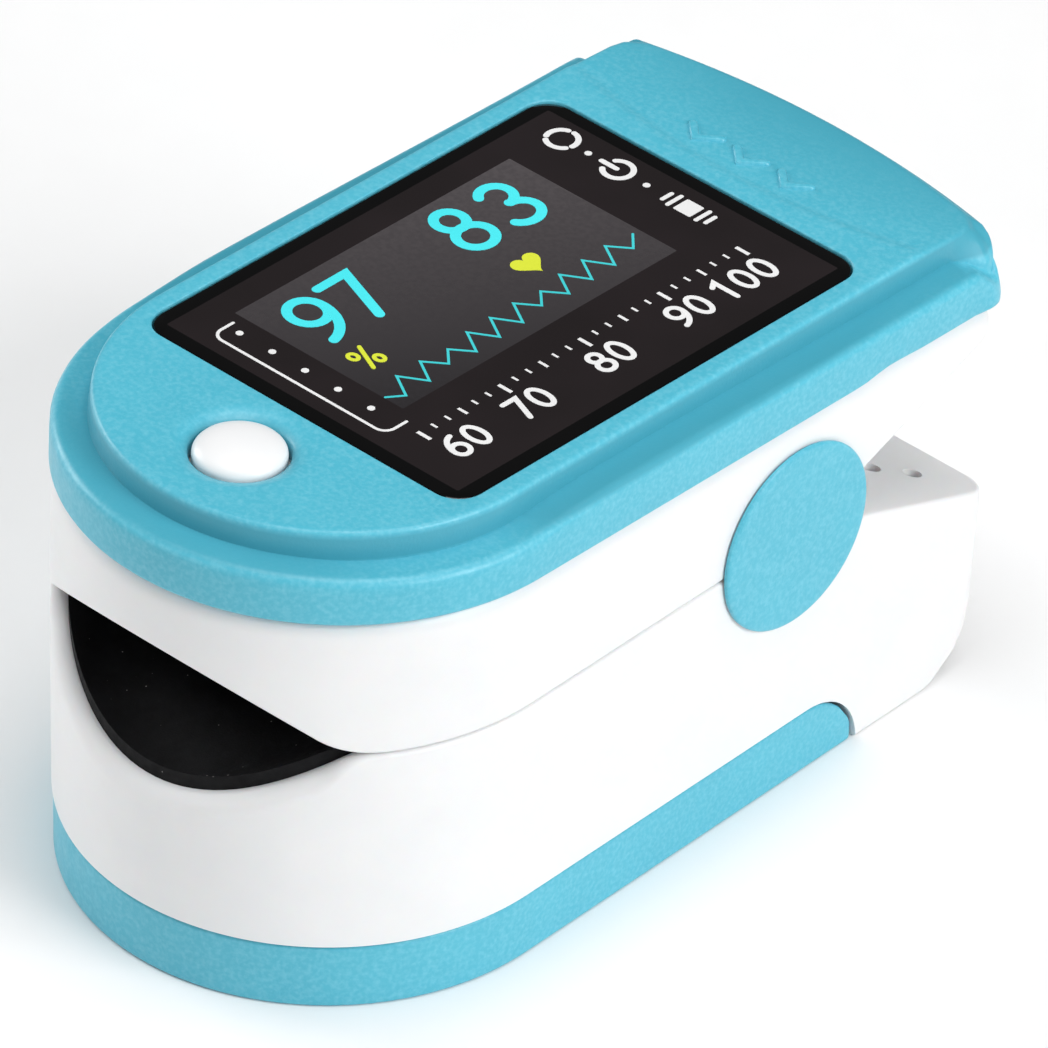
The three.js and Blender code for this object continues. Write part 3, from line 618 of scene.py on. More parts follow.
def glazed(name, low, high, rough=(0.05, 0.09), glow=None, glow_strength=0.0):
    """Back-printed acrylic: a flat print under a hard gloss."""
    finish = Finish(name, Specular_IOR_Level=0.5)
    finish.colour(finish.mix(finish.span(finish.noise(7.0, 2.0), 0, 1, 0.35, 0.65), low, high))
    finish.roughness(4.0, *rough)
    finish.bumps((finish.noise(12.0, 1.0), 0.012))
    if glow:
        finish.shader.inputs["Emission Color"].default_value = (*glow, 1)
        finish.shader.inputs["Emission Strength"].default_value = glow_strength
    return finish.material


BORDER = glazed("window border print", (0.0015, 0.0015, 0.0016), (0.002, 0.002, 0.0021))
PANEL = glazed(
    "window smoked print", (0.011, 0.0085, 0.009), (0.014, 0.0105, 0.0115),
    glow=(0.011, 0.0085, 0.009), glow_strength=0.35)
CYAN = glazed(
    "display cyan", (0.05, 0.55, 0.60), (0.06, 0.60, 0.64), glow=(0.05, 0.56, 0.60), glow_strength=0.42)
TEAL = glazed(
    "display teal", (0.03, 0.36, 0.38), (0.04, 0.40, 0.42), glow=(0.04, 0.42, 0.44), glow_strength=0.6)
YELLOW = glazed(
    "display yellow", (0.50, 0.56, 0.03), (0.55, 0.60, 0.04), glow=(0.62, 0.68, 0.06), glow_strength=0.3)
MARKS = glazed("printed white marks", (0.80, 0.80, 0.80), (0.84, 0.84, 0.84), rough=(0.2, 0.3))


def screen_glass():
    """Lit display area: brighter towards its far end and left side, with a fine raster."""
    finish = Finish("display area", Roughness=0.07)
    (x0, y0), (x1, y1) = SCREEN
    across = finish.span(finish.axis("X"), 0, 0.5, x1 * MM, x0 * MM)
    along = finish.span(finish.axis("Y"), 0, 0.5, y0 * MM, y1 * MM)
    base = finish.mix(finish.maths("ADD", across, along), (0.012, 0.011, 0.012), (0.046, 0.041, 0.043))
    raster = finish.span(finish.noise(0.35, 2.0), 0.0, 0.3, 0.35, 0.65)
    shade = finish.mix(raster, base, (0.020, 0.018, 0.020))
    finish.colour(shade)
    finish.link(shade, finish.shader.inputs["Emission Color"])
    finish.shader.inputs["Emission Strength"].default_value = 0.9
    return finish.material


def metal(name, colour, dull, rough, stretch=None):
    """Plated metal with duller patches and a fine grain, which stretch draws out."""
    finish = Finish(name, Metallic=1.0)
    finish.colour(finish.mix(finish.span(finish.noise(2.0, 4.0, stretch), 0, 1), colour, dull))
    finish.roughness(0.5, *rough)
    finish.bumps((finish.noise(0.3, 3.0, stretch), 0.004))
    return finish.material


def circuit_board():
    """Green lacquer over a raised grid of tracks."""
    finish = Finish("green solder resist", Coat_Weight=0.4, Coat_Roughness=0.15)
    tracks = finish.tree.nodes.new("ShaderNodeTexBrick")
    tracks.inputs["Scale"].default_value = 1 / (2.2 * MM)
    tracks.inputs["Mortar Size"].default_value = 0.06
    finish.link(finish.place, tracks.inputs["Vector"])
    lines = finish.span(tracks.outputs["Fac"], 0, 1, 0, 1)
    board = finish.mix(finish.span(finish.noise(3.0), 0, 1), (0.012, 0.16, 0.045), (0.016, 0.19, 0.055))
    finish.colour(finish.mix(lines, board, (0.035, 0.27, 0.09)))
    finish.roughness(0.8, 0.25, 0.4)
    finish.bumps((lines, 0.02))
    return finish.material


def flex_film():
    """Amber film with tracks along it."""
    finish = Finish("polyimide film", Coat_Weight=0.5, Coat_Roughness=0.1)
    tracks = finish.tree.nodes.new("ShaderNodeTexWave")
    tracks.bands_direction = "X"
    tracks.inputs["Scale"].default_value = 1 / (9 * MM)
    finish.link(finish.place, tracks.inputs["Vector"])
    finish.colour(finish.mix(tracks.outputs["Fac"], (0.42, 0.17, 0.025), (0.62, 0.30, 0.06)))
    finish.roughness(0.6, 0.2, 0.35)
    finish.bumps((tracks.outputs["Fac"], 0.01))
    return finish.material


def cell_sleeve():
    """Printed foil: a plain grey body with one lighter band, and a fine crinkle."""
    finish = Finish("cell sleeve", Coat_Weight=0.5, Coat_Roughness=0.1, Metallic=0.35)
    band = finish.span(finish.axis("Y"), 0, 1, 0.0105, 0.0106)
    base = finish.mix(finish.span(finish.noise(4.0), 0, 1), (0.035, 0.040, 0.047), (0.048, 0.054, 0.062))
    finish.colour(finish.mix(band, base, (0.40, 0.42, 0.43)))
    finish.roughness(1.5, 0.22, 0.36)
    finish.bumps((finish.noise(0.8, 3.0), 0.006))
    return finish.material


SILICONE = silicone()
SCREEN_GLASS = screen_glass()
STEEL = metal("plated steel", (0.62, 0.63, 0.65), (0.5, 0.51, 0.53), (0.22, 0.38))
NICKEL = metal("nickel strip", (0.78, 0.76, 0.72), (0.66, 0.64, 0.60), (0.2, 0.34), stretch=(0.3, 3, 1))
BOARD = circuit_board()
FLEX = flex_film()
SLEEVE = cell_sleeve()

# ---- lower jaw --------------------------------------------------------------------------


def deck(y):
    """Height of the lower jaw's top face: level, then falling to the rear."""
    return np.where(y < DECK_Y, PART_Z, PART_Z - (y - DECK_Y) * DECK_SLOPE)


def pad_front(x):
    """Front edge of the lower pad, a little inside the nose."""
    radius = BODY_W - LIP_INSET
    return NOSE_Y - np.sqrt(np.maximum(radius**2 - np.minimum(np.abs(x), 13.5) ** 2, 0))


def finger_bed(x, y):
    """Height of the trough under the finger pad: a flared mouth running into a flatter bed."""
    mouth = LIP_Z + LIP_CURVE * x**2
    bed = BED_Z + BED_RISE * (x / BED_W) ** 4
    inner = smooth(0, BED_BLEND, y - pad_front(x))
    return mouth + (bed - mouth) * inner


def lower_top(x, y):
    """Height of the lower shell's top: the trough, then the flat deck behind the pad."""
    trough = soft_min(finger_bed(x, y), deck(y), 0.7)
    behind = smooth(PAD_END_Y + 0.1, PAD_END_Y + 0.4, y)
    return trough + (deck(y) - trough) * behind


def rear_wall_y(z):
    """The lower jaw's rear wall in side view: a round bottom corner, then a slight lean."""
    rise = min(z, REAR_FILLET_R)
    reach = math.sqrt(REAR_FILLET_R**2 - (REAR_FILLET_R - rise) ** 2)
    foot = REAR_FILLET_Y + REAR_FILLET_R
    top_z = float(deck(REAR_Y))
    lean = (REAR_Y - foot) * max(z - REAR_FILLET_R, 0) / (top_z - REAR_FILLET_R)
    return min(REAR_FILLET_Y + reach + lean, REAR_Y)


def door_space(margin):
    """Side view of the room that the battery door takes."""
    top = DOOR_TOP_Z + margin
    end = DOOR_END_Y + margin
    radius = DOOR_BEND_R
    bend = arc(end - radius, top - radius, radius, 0, math.pi / 2, 24)
    return np.vstack(([[-40, -2], [end, -2]], bend, [[-40, top]]))


def make_lower_shell():
    body = Solid()
    base = outline(BODY_W, REAR_Y, REAR_CORNER_R)
    inward = outline(BODY_W - 1, REAR_Y - 1, REAR_CORNER_R - 1) - base
    bent = np.clip((base[:, 1] - LEAN_Y) / (REAR_Y - REAR_CORNER_R - LEAN_Y), 0, 1)

    def at(inset, z):
        plan = base + inward * np.reshape(np.broadcast_to(inset, len(base)), (-1, 1))
        shift = np.array([rear_wall_y(h) - REAR_Y for h in np.broadcast_to(z, len(base))])
        plan[:, 1] += bent * shift
        return plan

    lip = smooth(12.9, 10.8, np.abs(base[:, 0])) * (base[:, 1] < NOSE_Y)
    edge_in = 0.3 + (LIP_INSET - 0.3) * lip
    edge_down = 0.3 + (LIP_DROP - 0.3) * lip
    top_plan = base + inward * edge_in[:, None]
    top = lower_top(top_plan[:, 0], top_plan[:, 1])
    rings = []
    for inset, z in ((0.3, 0), (0.14, 0.04), (0.04, 0.14), (0, 0.3)):
        rings.append(body.ring(at(inset, z), z))
    for z in (1.6, 2.8, 4.6, 7.5, 10.4):
        rings.append(body.ring(at(0, z), z))
    for turn in np.radians((0, 15, 30, 45, 60, 75, 90)):
        plan = base + inward * (edge_in * (1 - math.cos(turn)))[:, None]
        rings.append(body.ring(plan, top - edge_down * (1 - math.sin(turn))))
    for extra in (0.35, 0.8):
        plan = base + inward * (edge_in + extra)[:, None]
        rings.append(body.ring(plan, lower_top(plan[:, 0], plan[:, 1])))
    body.stack(rings)
    body.face(*rings[0][::-1])
    inner = np.vstack((
        grid(-15, 15, NOSE_Y - 15, PAD_END_Y, 0.7, 0.8),
        grid(-15, 15, PAD_END_Y + 0.1, PAD_END_Y + 0.4, 0.7, 0.3),
        grid(-15, 15, DECK_Y, REAR_Y - 1, 2.5, 2.5),
    ))
    body.sheet(rings[-1], extra=inner, height=lower_top, clearance=0.35)
    shell = body.mesh("lower_shell_moulding")

    skirt = prism("z", outline(SKIRT_W, REAR_Y, REAR_CORNER_R), 1.6, 9)
    door_room = carve(prism("x", door_space(0.15), -30, 30), skirt)
    bay_mouth = prism("z", outline(BAY_W, DOOR_END_Y + 0.15, 1), -2, 5)
    hinge_room = prism("x", circle(KNUCKLE_R + 0.4, HINGE_Y, HINGE_Z, 72), -CAVITY_W, CAVITY_W)
    rear = REAR_Y - WALL - 0.2
    saddle = HINGE_Y + 6.15
    cavity_side = np.array((
        (NOSE_Y - 16, 1.4), (REAR_FILLET_Y, 1.4), (rear - 1, 2.3), (rear, 4.4), (rear, deck(rear) - 1.6),
        (saddle, deck(saddle) - 1.6), (saddle, 12.8), (PAD_END_Y + 0.2, 12.8), (PAD_END_Y + 0.2, 14.0),
        (NOSE_Y - 8.3, 14.0), (NOSE_Y - 11.8, 13.0), (NOSE_Y - 15.4, 11.9), (NOSE_Y - 16, 11.9)))
    wide, narrow = (
        carve(prism("x", cavity_side, -20, 20), prism("z", outline(half_w, REAR_Y, 2), low, high),
              operation="INTERSECT")
        for half_w, low, high in ((CAVITY_W, 6, 20), (BAY_W, -1, 6.1)))
    cord_holes = [
        prism("z", circle(0.6, x, HINGE_Y + y, 24), 8, 18) for x, y in ((11.4, 12.85), (12.9, 14.95))]
    carve(shell, door_room, bay_mouth, hinge_room, wide, narrow, *cord_holes)

    lugs = Solid()
    for side in (-1, 1):
        near, far = CAVITY_W, BODY_W - 0.01
        profile = (
            (0, near), (LUG_R - 0.15, near), (LUG_R, near + 0.15), (LUG_R, far - 0.2), (LUG_R - 0.2, far),
            (0, far))
        lugs.lathe([(r, side * x) for r, x in profile], "x", (0, HINGE_Y, HINGE_Z))
    join_meshes(shell, lugs.mesh("lugs"))
    finish_piece(shell, "lower_jaw", [WHITE], ["lower_shell"])


def join_meshes(piece, *others):
    """Adds the other pieces' meshes to the first piece's mesh."""
    work = bmesh.new()
    work.from_mesh(piece.data)
    for other in others:
        work.from_mesh(other.data)
        bpy.data.objects.remove(other)
    work.to_mesh(piece.data)
    work.free()


def make_battery_door():
    """A floor with a rim that wraps round the nose, grip grooves, side rails and a catch."""
    body = Solid()
    base = outline(DOOR_W, DOOR_END_Y, 0.5)
    inward = outline(DOOR_W - 0.2, DOOR_END_Y - 0.2, 0.3) - base
    inward /= 0.2
    radius = DOOR_BEND_R
    behind = np.clip(base[:, 1] - (DOOR_END_Y - radius), 0, radius)
    top = DOOR_TOP_Z - radius + np.sqrt(radius**2 - behind**2)
    top = np.maximum(top, FLOOR_Z + 0.05)
    bottom = np.full(len(base), 0.25)
    deep = outline(DOOR_W - 1.4, DOOR_END_Y - 1.4, 0.25)
    rings = []
    for turn in np.radians((0, 18, 36, 54, 72, 90)):
        plan = base + inward * (bottom * (1 - math.sin(turn)))[:, None]
        rings.append(body.ring(plan, bottom * (1 - math.cos(turn))))
    for turn in np.radians((0, 30, 60, 90)):
        plan = base + inward * 0.22 * (1 - math.cos(turn))
        rings.append(body.ring(plan, top - 0.22 * (1 - math.sin(turn))))
    for share, drop in ((0.85, 0), (0.97, 0.05), (1, 0.2)):
        plan = base * (1 - share) + deep * share
        rings.append(body.ring(plan, np.maximum(top - drop, FLOOR_Z)))
    rings.append(body.ring(deep, FLOOR_Z))
    body.capped(rings)
    door = body.mesh("battery_door_moulding")
    grips = [rectangle(4.5 - 0.5 * i, 0.35, 0.3, NOSE_Y - 6 + 1.6 * i, steps=5) for i in range(5)]
    carve(door, *(prism("z", grip, -1, 0.3) for grip in grips))
    extras = Solid()
    for side in (-1, 1):
        rail = rectangle(0.45, 9.5, 0.2, HINGE_Y - 9.55, side * 14.75, 3)
        extras.slab(rail, 2.5, 3.1, 0.12)
    catch_root = rectangle(1.9, 1.2, 0.3, DOOR_END_Y - 0.8, steps=3)
    extras.slab(catch_root, 1.1, 2.2, 0.1)
    catch_tongue = rectangle(1.9, 1.7, 0.4, DOOR_END_Y + 0.3, steps=3)
    extras.slab(catch_tongue, 1.6, 2.2, 0.1)
    join_meshes(door, extras.mesh("rails"))
    finish_piece(door, "door", [BLUE], ["battery_door"])


def pad_solid(front, back, half_w, top, thickness, turn=False):
    """A moulded pad: a bent sheet between front(x) and back, thickness deep, on height top(x, y)."""
    body = Solid()
    xs = half_w * np.sin(np.linspace(-1, 1, 57) * math.pi / 2)
    upper, lower = [], []
    for share in np.linspace(0, 1, 72) ** 1.4:
        ys = front(xs) + (back - front(xs)) * share
        heights = top(xs, ys)
        upper.append(body.loop(np.column_stack((xs, ys, heights))))
        lower.append(body.loop(np.column_stack((xs, ys, heights - thickness))))
    for faces, flip in ((upper, False), (lower, True)):
        for row, after in zip(faces, faces[1:]):
            for i in range(len(xs) - 1):
                quad = (row[i], row[i + 1], after[i + 1], after[i])
                body.face(*(quad[::-1] if flip else quad))
    low_edge, high_edge = (
        rows[0] + [row[-1] for row in rows[1:]] + rows[-1][-2::-1] + [row[0] for row in rows[-2:0:-1]]
        for rows in (lower, upper))
    body.join(low_edge, high_edge)
    return body.mesh("pad", turn)


def make_lower_pad():
    def top(x, y):
        return soft_min(finger_bed(x, y) + PAD_THICK, deck(y) - 0.12, 0.25)

    pad = pad_solid(pad_front, PAD_END_Y, 12.5, top, PAD_THICK)
    pad.name = "lower_pad_moulding"
    window = prism("z", rectangle(3.6, 3.1, 0.4, SENSOR_Y), 10, 20)
    carve(pad, window)
    round_edges(pad, 0.22, 50)
    finish_piece(pad, "lower_jaw", [SILICONE], ["lower_finger_pad"], sharp=60)


# ---- upper jaw, drawn level ---------------------------------------------------------------


def parting(y):
    """Height of the upper jaw's flat underside and of its rising rear lever."""
    start_y = HINGE_Y + (LEVER_Y - HINGE_Y) * math.cos(TILT)
    level = HINGE_Z + (PART_Z + PART_GAP - HINGE_Z) / math.cos(TILT)
    slope = math.tan(math.atan(LEVER_SLOPE) + TILT)
    flat = level + (y - HINGE_Y) * math.tan(TILT)
    corner = level + (start_y - HINGE_Y) * math.tan(TILT)
    return np.where(y < start_y, flat, corner + (y - start_y) * slope)


def arch(x, y):
    """Roof of the finger opening, running into the parting face with a rounded edge."""
    part = parting(y)
    bend_x = np.sqrt((ARCH_R + ARCH_FILLET) ** 2 - (part + ARCH_FILLET - ARCH_Z) ** 2)
    meet_x = bend_x * ARCH_R / (ARCH_R + ARCH_FILLET)
    roof = ARCH_Z + np.sqrt(np.maximum(ARCH_R**2 - x**2, 0))
    bend = part + ARCH_FILLET - np.sqrt(np.maximum(ARCH_FILLET**2 - (bend_x - np.abs(x)) ** 2, 0))
    return np.where(np.abs(x) < meet_x, roof, np.where(np.abs(x) < bend_x, bend, part))


def upper_underside(x, y):
    """Height of the upper shell's underside: the arch, then the parting face behind it."""
    behind = smooth(ARCH_END_Y - 0.1, ARCH_END_Y + 0.2, y)
    front = arch(x, np.minimum(y, ARCH_END_Y))
    return front + (parting(y) - front) * behind


def rim_step(y):
    """The cover's lower edge steps up a little beside the levers."""
    back = y - HINGE_Y
    return 0.33 * smooth(5.2, 8.0, back) - 0.12 * smooth(8.0, 11.4, back)


def make_upper_shell():
    body = Solid()
    base = outline(BODY_W, UPPER_REAR_Y, COVER_CORNER_R, REAR_BULGE_R)
    inward = outline(BODY_W - 1, UPPER_REAR_Y - 1, COVER_CORNER_R - 1, REAR_BULGE_R - 1) - base

    def at(inset):
        return base + inward * inset

    edge = at(0.2)
    under = upper_underside(edge[:, 0], edge[:, 1])
    top = RIM_BOTTOM_Z - 0.12 + rim_step(base[:, 1])
    inner = at(WALL)
    floor = upper_underside(inner[:, 0], inner[:, 1]) + WALL
    rings = [body.ring(inner, floor), body.ring(inner, top)]
    shoulder = (1.0, 0), (0.72, 0.06), (0.48, 0.2), (0.28, 0.42), (0.12, 0.74), (0.03, 1.12), (0, 1.6)
    for inset, drop in shoulder:
        rings.append(body.ring(at(inset), top - drop))
    for share in (0.25, 0.5, 0.75):
        rings.append(body.ring(base, (top - 1.6) * (1 - share) + (under + 0.25) * share))
    for inset, rise in ((0, 0.25), (0.02, 0.14), (0.06, 0.06), (0.12, 0.015), (0.2, 0)):
        rings.append(body.ring(at(inset), under + rise))
    body.stack(rings)
    points = np.vstack((
        grid(-14.6, 14.6, NOSE_Y - 16, ARCH_END_Y - 0.1, 0.6, 1.2),
        grid(-14.6, 14.6, ARCH_END_Y - 0.1, ARCH_END_Y + 0.2, 0.6, 0.3),
        grid(-15.6, 15.6, ARCH_END_Y + 1, UPPER_REAR_Y - 1, 2.0, 0.8),
    ))
    body.sheet(rings[-1], extra=points, height=upper_underside, clearance=0.3)
    body.sheet(rings[0], extra=points, height=lambda x, y: upper_underside(x, y) + WALL, clearance=0.4)
    shell = body.mesh("upper_shell_moulding", turn=True)

    notch = circle(LUG_R + 0.35, HINGE_Y, HINGE_Z, 72)
    notches = [prism("x", notch, low, high) for low, high in ((14.65, 18), (-18, -14.65))]
    led_hole = prism("z", rectangle(3.3, 3.3, 0.3, SENSOR_Y), 19, 23.95, turn=True)
    carve(shell, *notches, led_hole)

    knuckles = Solid()
    near, far = KNUCKLE_X
    for side in (-1, 1):
        profile = (
            (0, far - WALL), (KNUCKLE_BORE_R, far - WALL), (KNUCKLE_BORE_R, near + 0.2),
            (KNUCKLE_BORE_R + 0.2, near), (KNUCKLE_R - 0.2, near), (KNUCKLE_R, near + 0.2),
            (KNUCKLE_R, far - 0.2), (KNUCKLE_R - 0.2, far), (0, far))
        knuckles.lathe([(r, side * x) for r, x in profile], "x", (0, HINGE_Y, HINGE_Z))
    barrels = knuckles.mesh("knuckles")
    for side in (-1, 1):
        pin_hole = prism("x", circle(PIN_HOLE_R, HINGE_Y, HINGE_Z, 32), *sorted((side * 12, side * 15)))
        leg_slot = rectangle(3.1, 2.5, 0.2, HINGE_Z - 3.3, HINGE_Y + 1.2)
        carve(barrels, pin_hole, prism("x", leg_slot, *sorted((side * 9.2, side * 10.2))))
    join_meshes(shell, barrels)
    finish_piece(shell, "upper_jaw", [WHITE], ["upper_shell"])


def make_upper_pad():
    radius = BODY_W - 2.8

    def front(x):
        return NOSE_Y - np.sqrt(np.maximum(radius**2 - np.minimum(np.abs(x), 13) ** 2, 0))

    def top(x, y):
        return np.maximum(ARCH_Z + np.sqrt((ARCH_R + 0.6) ** 2 - x**2), parting(y) + 0.8)

    pad = pad_solid(front, PAD_END_Y, 10.6, top, PAD_THICK, turn=True)
    pad.name = "upper_pad_moulding"
    window = prism("z", rectangle(3.2, 3.2, 0.4, SENSOR_Y), 15, 25, turn=True)
    carve(pad, window)
    round_edges(pad, 0.22, 50)
    finish_piece(pad, "upper_jaw", [SILICONE], ["upper_finger_pad"], sharp=60)


def top_height(x, y):
    """The cover's top: level, with a soft crease and a slight fall behind it."""
    behind = CREASE_R - np.hypot(x, y - CREASE_Y - CREASE_R)
    behind = np.where(y > CREASE_Y - 2, behind, -1)
    return TOP_Z - 0.15 * smooth(-0.35, 0.6, behind) - PUSH_FALL * np.maximum(behind - 0.3, 0)


# Cover section, from the inner wall round the rim to the raised top. Each row is the inset and
# height along the sides, at the rear corners and along the rear edge, then the corner's radius.
COVER_SECTION = (
    (1.25, 27.0, 1.25, 27.0, 1.25, 27.0, 0.9), (0.3, 26.94, 0.1, 26.94, 0.3, 26.94, 1.75),
    (0.12, 27.0, -0.12, 27.0, 0.1, 27.0, 1.9), (0, 27.2, -0.25, 27.2, -0.05, 27.2, 2.0),
    (0, 28.3, -0.26, 27.75, -0.05, 27.9, 2.0), (0, 29.4, -0.18, 28.15, -0.03, 28.5, 2.0),
    (0.024, 29.93, -0.08, 28.42, 0, 28.9, 1.95), (0.092, 30.095, 0.05, 28.62, 0.02, 29.2, 1.85),
    (0.202, 30.238, 0.22, 28.75, 0.04, 29.45, 1.8), (0.345, 30.348, 0.4, 28.83, 0.06, 29.65, 1.75),
    (0.511, 30.416, 0.56, 28.88, 0.08, 29.82, 1.7), (0.69, 30.44, 0.68, 28.92, 0.1, 29.95, 1.65),
    (1.3, 30.47, 0.78, 28.97, 0.12, 30.08, 1.6), (1.9, 30.5, 0.86, 29.05, 0.14, 30.22, 1.55),
    (2.19, 30.52, 0.93, 29.18, 0.16, 30.36, 1.5), (2.2, 30.57, 1.0, 29.4, 0.18, 30.52, 1.45),
    (2.21, 30.72, 1.15, 29.75, 0.22, 30.75, 1.4), (2.26, 31.1, 1.6, 30.5, 0.27, 31.1, 1.35),
    (2.35, 31.62, 2.35, 31.25, 0.34, 31.5, 1.3), (2.4, 31.75, 2.8, 31.6, 0.4, 31.7, 1.25),
    (2.5, 31.86, 3.1, 31.8, 0.5, 31.82, 1.2), (2.66, 31.895, 3.3, 31.88, 0.64, 31.885, 1.15),
    (2.9, 31.9, 3.55, 31.9, 0.9, 31.9, 1.1))


def cover_outline(inset):
    return outline(RIM_W - inset, COVER_REAR_Y - inset, COVER_CORNER_R - inset, REAR_BULGE_R - inset)


def cover_ring(row):
    """Plan and heights of one row of the cover's section."""
    side_in, side_z, corner_in, corner_z, rear_in, rear_z, radius = row
    plan = outline(RIM_W - side_in, COVER_REAR_Y - rear_in, radius, REAR_BULGE_R - rear_in)
    ahead = np.roll(plan, -1, axis=0) - np.roll(plan, 1, axis=0)
    turned = np.arctan2(np.abs(ahead[:, 0]), np.abs(ahead[:, 1])) / (math.pi / 2)
    back = plan[:, 1] - HINGE_Y
    raised = smooth(30.55, 31.6, side_z)
    corner = smooth(15.6 + 1.2 * raised, 17.6 + 0.8 * raised, back)
    rear = smooth(0.3, 0.85, turned) * (back > 0)
    plan[:, 0] *= 1 + (side_in - corner_in) * corner / (RIM_W - side_in)
    z = side_z + (corner_z - side_z) * corner
    z = z + (rear_z - z) * rear
    z = z + rim_step(plan[:, 1]) * smooth(28.0, 27.3, side_z)
    nose_fall = 1.5 * smooth(-16, -26, back) - 0.6 * smooth(-30, -37, back)
    sunk = RIM_FALL * (smooth(-16, 13, back) + nose_fall)
    z = z - sunk * smooth(27.4, 29.8, side_z) * (1 - raised) * (1 - corner)
    return plan, z + (top_height(plan[:, 0], plan[:, 1]) - TOP_Z) * smooth(31.2, 31.75, side_z)


def window_outline(grow):
    return rectangle(WINDOW_W + grow, WINDOW_L + grow, WINDOW_CORNER + grow, WINDOW_Y)


def make_top_cover():
    body = Solid()
    rings = []
    for inset, z in ((3.6, 30.4), (3.6, 28.9), (1.4, 28.9), (1.4, 27.4)):
        rings.append(body.ring(cover_outline(inset), z))
    for row in COVER_SECTION:
        rings.append(body.ring(*cover_ring(row)))
    body.stack(rings)

    window = [body.ring(window_outline(0.14), TOP_Z)]
    ledge_z = LENS_BOTTOM_Z - 0.05
    for grow, z in ((0.05, TOP_Z - 0.03), (0, TOP_Z - 0.12), (0, ledge_z), (-0.9, ledge_z), (-0.9, 30.4)):
        window.append(body.ring(window_outline(grow), z))
    body.stack(window)
    recess = []
    dish = (4.25, 0), (4.0, 0.03), (3.6, 0.16), (3.25, 0.34), (3.08, 0.46), (3.02, 0.62), (3.02, 1.5)
    for radius, depth in dish:
        recess.append(body.ring(circle(radius, 0, BUTTON_Y, 72), TOP_Z - depth))
    body.stack(recess)
    extra = [grid(-14, 14, NOSE_Y - 13, CREASE_Y + 4, 2.0, 2.0)]
    for back in (-0.55, -0.35, -0.15, 0.05, 0.25, 0.45, 0.65, 0.9, 1.4, 2.0, 2.9, 4.0, 5.2, 6.5, 7.8):
        extra.append(arc(0, CREASE_Y + CREASE_R, CREASE_R - back, 1.2 * math.pi, 1.8 * math.pi, 90))
    body.sheet(rings[-1], [window[0], recess[0]], np.vstack(extra), top_height, 0.35)
    body.sheet(rings[0], [window[-1], recess[-1]])
    cover = body.mesh("top_cover_moulding", turn=True)

    marks = Solid()
    for i in range(3):
        middle = 3.6 * (i - 1)
        tip = HINGE_Y + 12.5
        chevron = np.array(((middle - 1.15, tip + 1.05), (middle, tip), (middle + 1.15, tip + 1.05)))
        add_raised_stroke(marks, chevron, 0.5, 0.2)
    join_meshes(cover, marks.mesh("chevrons", turn=True))
    finish_piece(cover, "upper_jaw", [COVER_BLUE], ["top_cover"], sharp=50)


def thick(path, width, round_ends=True, steps=8):
    """Outline of a stroke of that width along a path, anticlockwise, with mitred corners."""
    path = np.asarray(path, float)
    ahead = np.diff(path, axis=0)
    ahead /= np.linalg.norm(ahead, axis=1)[:, None]
    sides = np.column_stack((-ahead[:, 1], ahead[:, 0]))
    half = width / 2
    offsets = [sides[0] * half]
    for before, after in zip(sides, sides[1:]):
        total = before + after
        offsets.append(total / max(np.dot(total, after), 0.35) * half)
    offsets.append(sides[-1] * half)
    offsets = np.array(offsets)
    left, right = path + offsets, path - offsets
    if not round_ends:
        return np.vstack((right, left[::-1]))
    caps = []
    for point, side in ((path[-1], -sides[-1]), (path[0], sides[0])):
        start = math.atan2(side[1], side[0])
        caps.append(arc(point[0], point[1], half, start, start + math.pi, steps)[1:-1])
    return np.vstack((right, caps[0], left[::-1], caps[1]))


def add_raised_stroke(body, path, width, rise):
    """A soft embossed stroke standing on the cover's top."""
    rings = []
    section = (0.1, -0.15), (0.04, 0.02), (0, rise * 0.7), (-0.08, rise * 0.95), (-0.17, rise)
    for spread, height in section:
        plan = thick(path, width + 2 * spread)
        rings.append(body.ring(plan, top_height(plan[:, 0], plan[:, 1]) + height))
    body.capped(rings)


def make_window():
    """One acrylic slab whose flat top shows the border, the smoked panel and the display area."""
    body = Solid()
    rings = []
    thickness = LENS_TOP_Z - LENS_BOTTOM_Z
    for shrink, drop in ((0.1, thickness), (0.1, 0.12), (0.13, 0.04), (0.22, 0)):
        rings.append(body.ring(window_outline(-shrink), LENS_TOP_Z - drop))
    body.stack(rings)
    body.face(*rings[0][::-1])
    smoked = rectangle(WINDOW_W - PANEL_MARGIN, WINDOW_L - PANEL_MARGIN, 0.12, WINDOW_Y, steps=2)
    panel = body.ring(smoked, LENS_TOP_Z)
    (x0, y0), (x1, y1) = SCREEN
    lit = rectangle((x1 - x0) / 2, (y1 - y0) / 2, 0.05, (y0 + y1) / 2, (x0 + x1) / 2, 1)
    screen = body.ring(lit, LENS_TOP_Z)
    body.sheet(rings[-1], [panel])
    body.finish = 1
    body.sheet(panel, [screen])
    body.finish = 2
    body.face(*screen)
    lens = body.mesh("window_glazing", turn=True)
    finish_piece(
        lens, "upper_jaw", [BORDER, PANEL, SCREEN_GLASS], ["display_window"], sharp=30)


# ---- printed and lit marks ------------------------------------------------------------------

# A mark is drawn in (along, up) units and set on the window reading along the device, with
# up towards its left side.


def oval(x, y, rx, ry, start=0.0, end=360.0, steps=28):
    """Points round an ellipse, with angles in degrees."""
    angles = np.radians(np.linspace(start, end, steps + 1))
    return np.column_stack((x + rx * np.cos(angles), y + ry * np.sin(angles)))


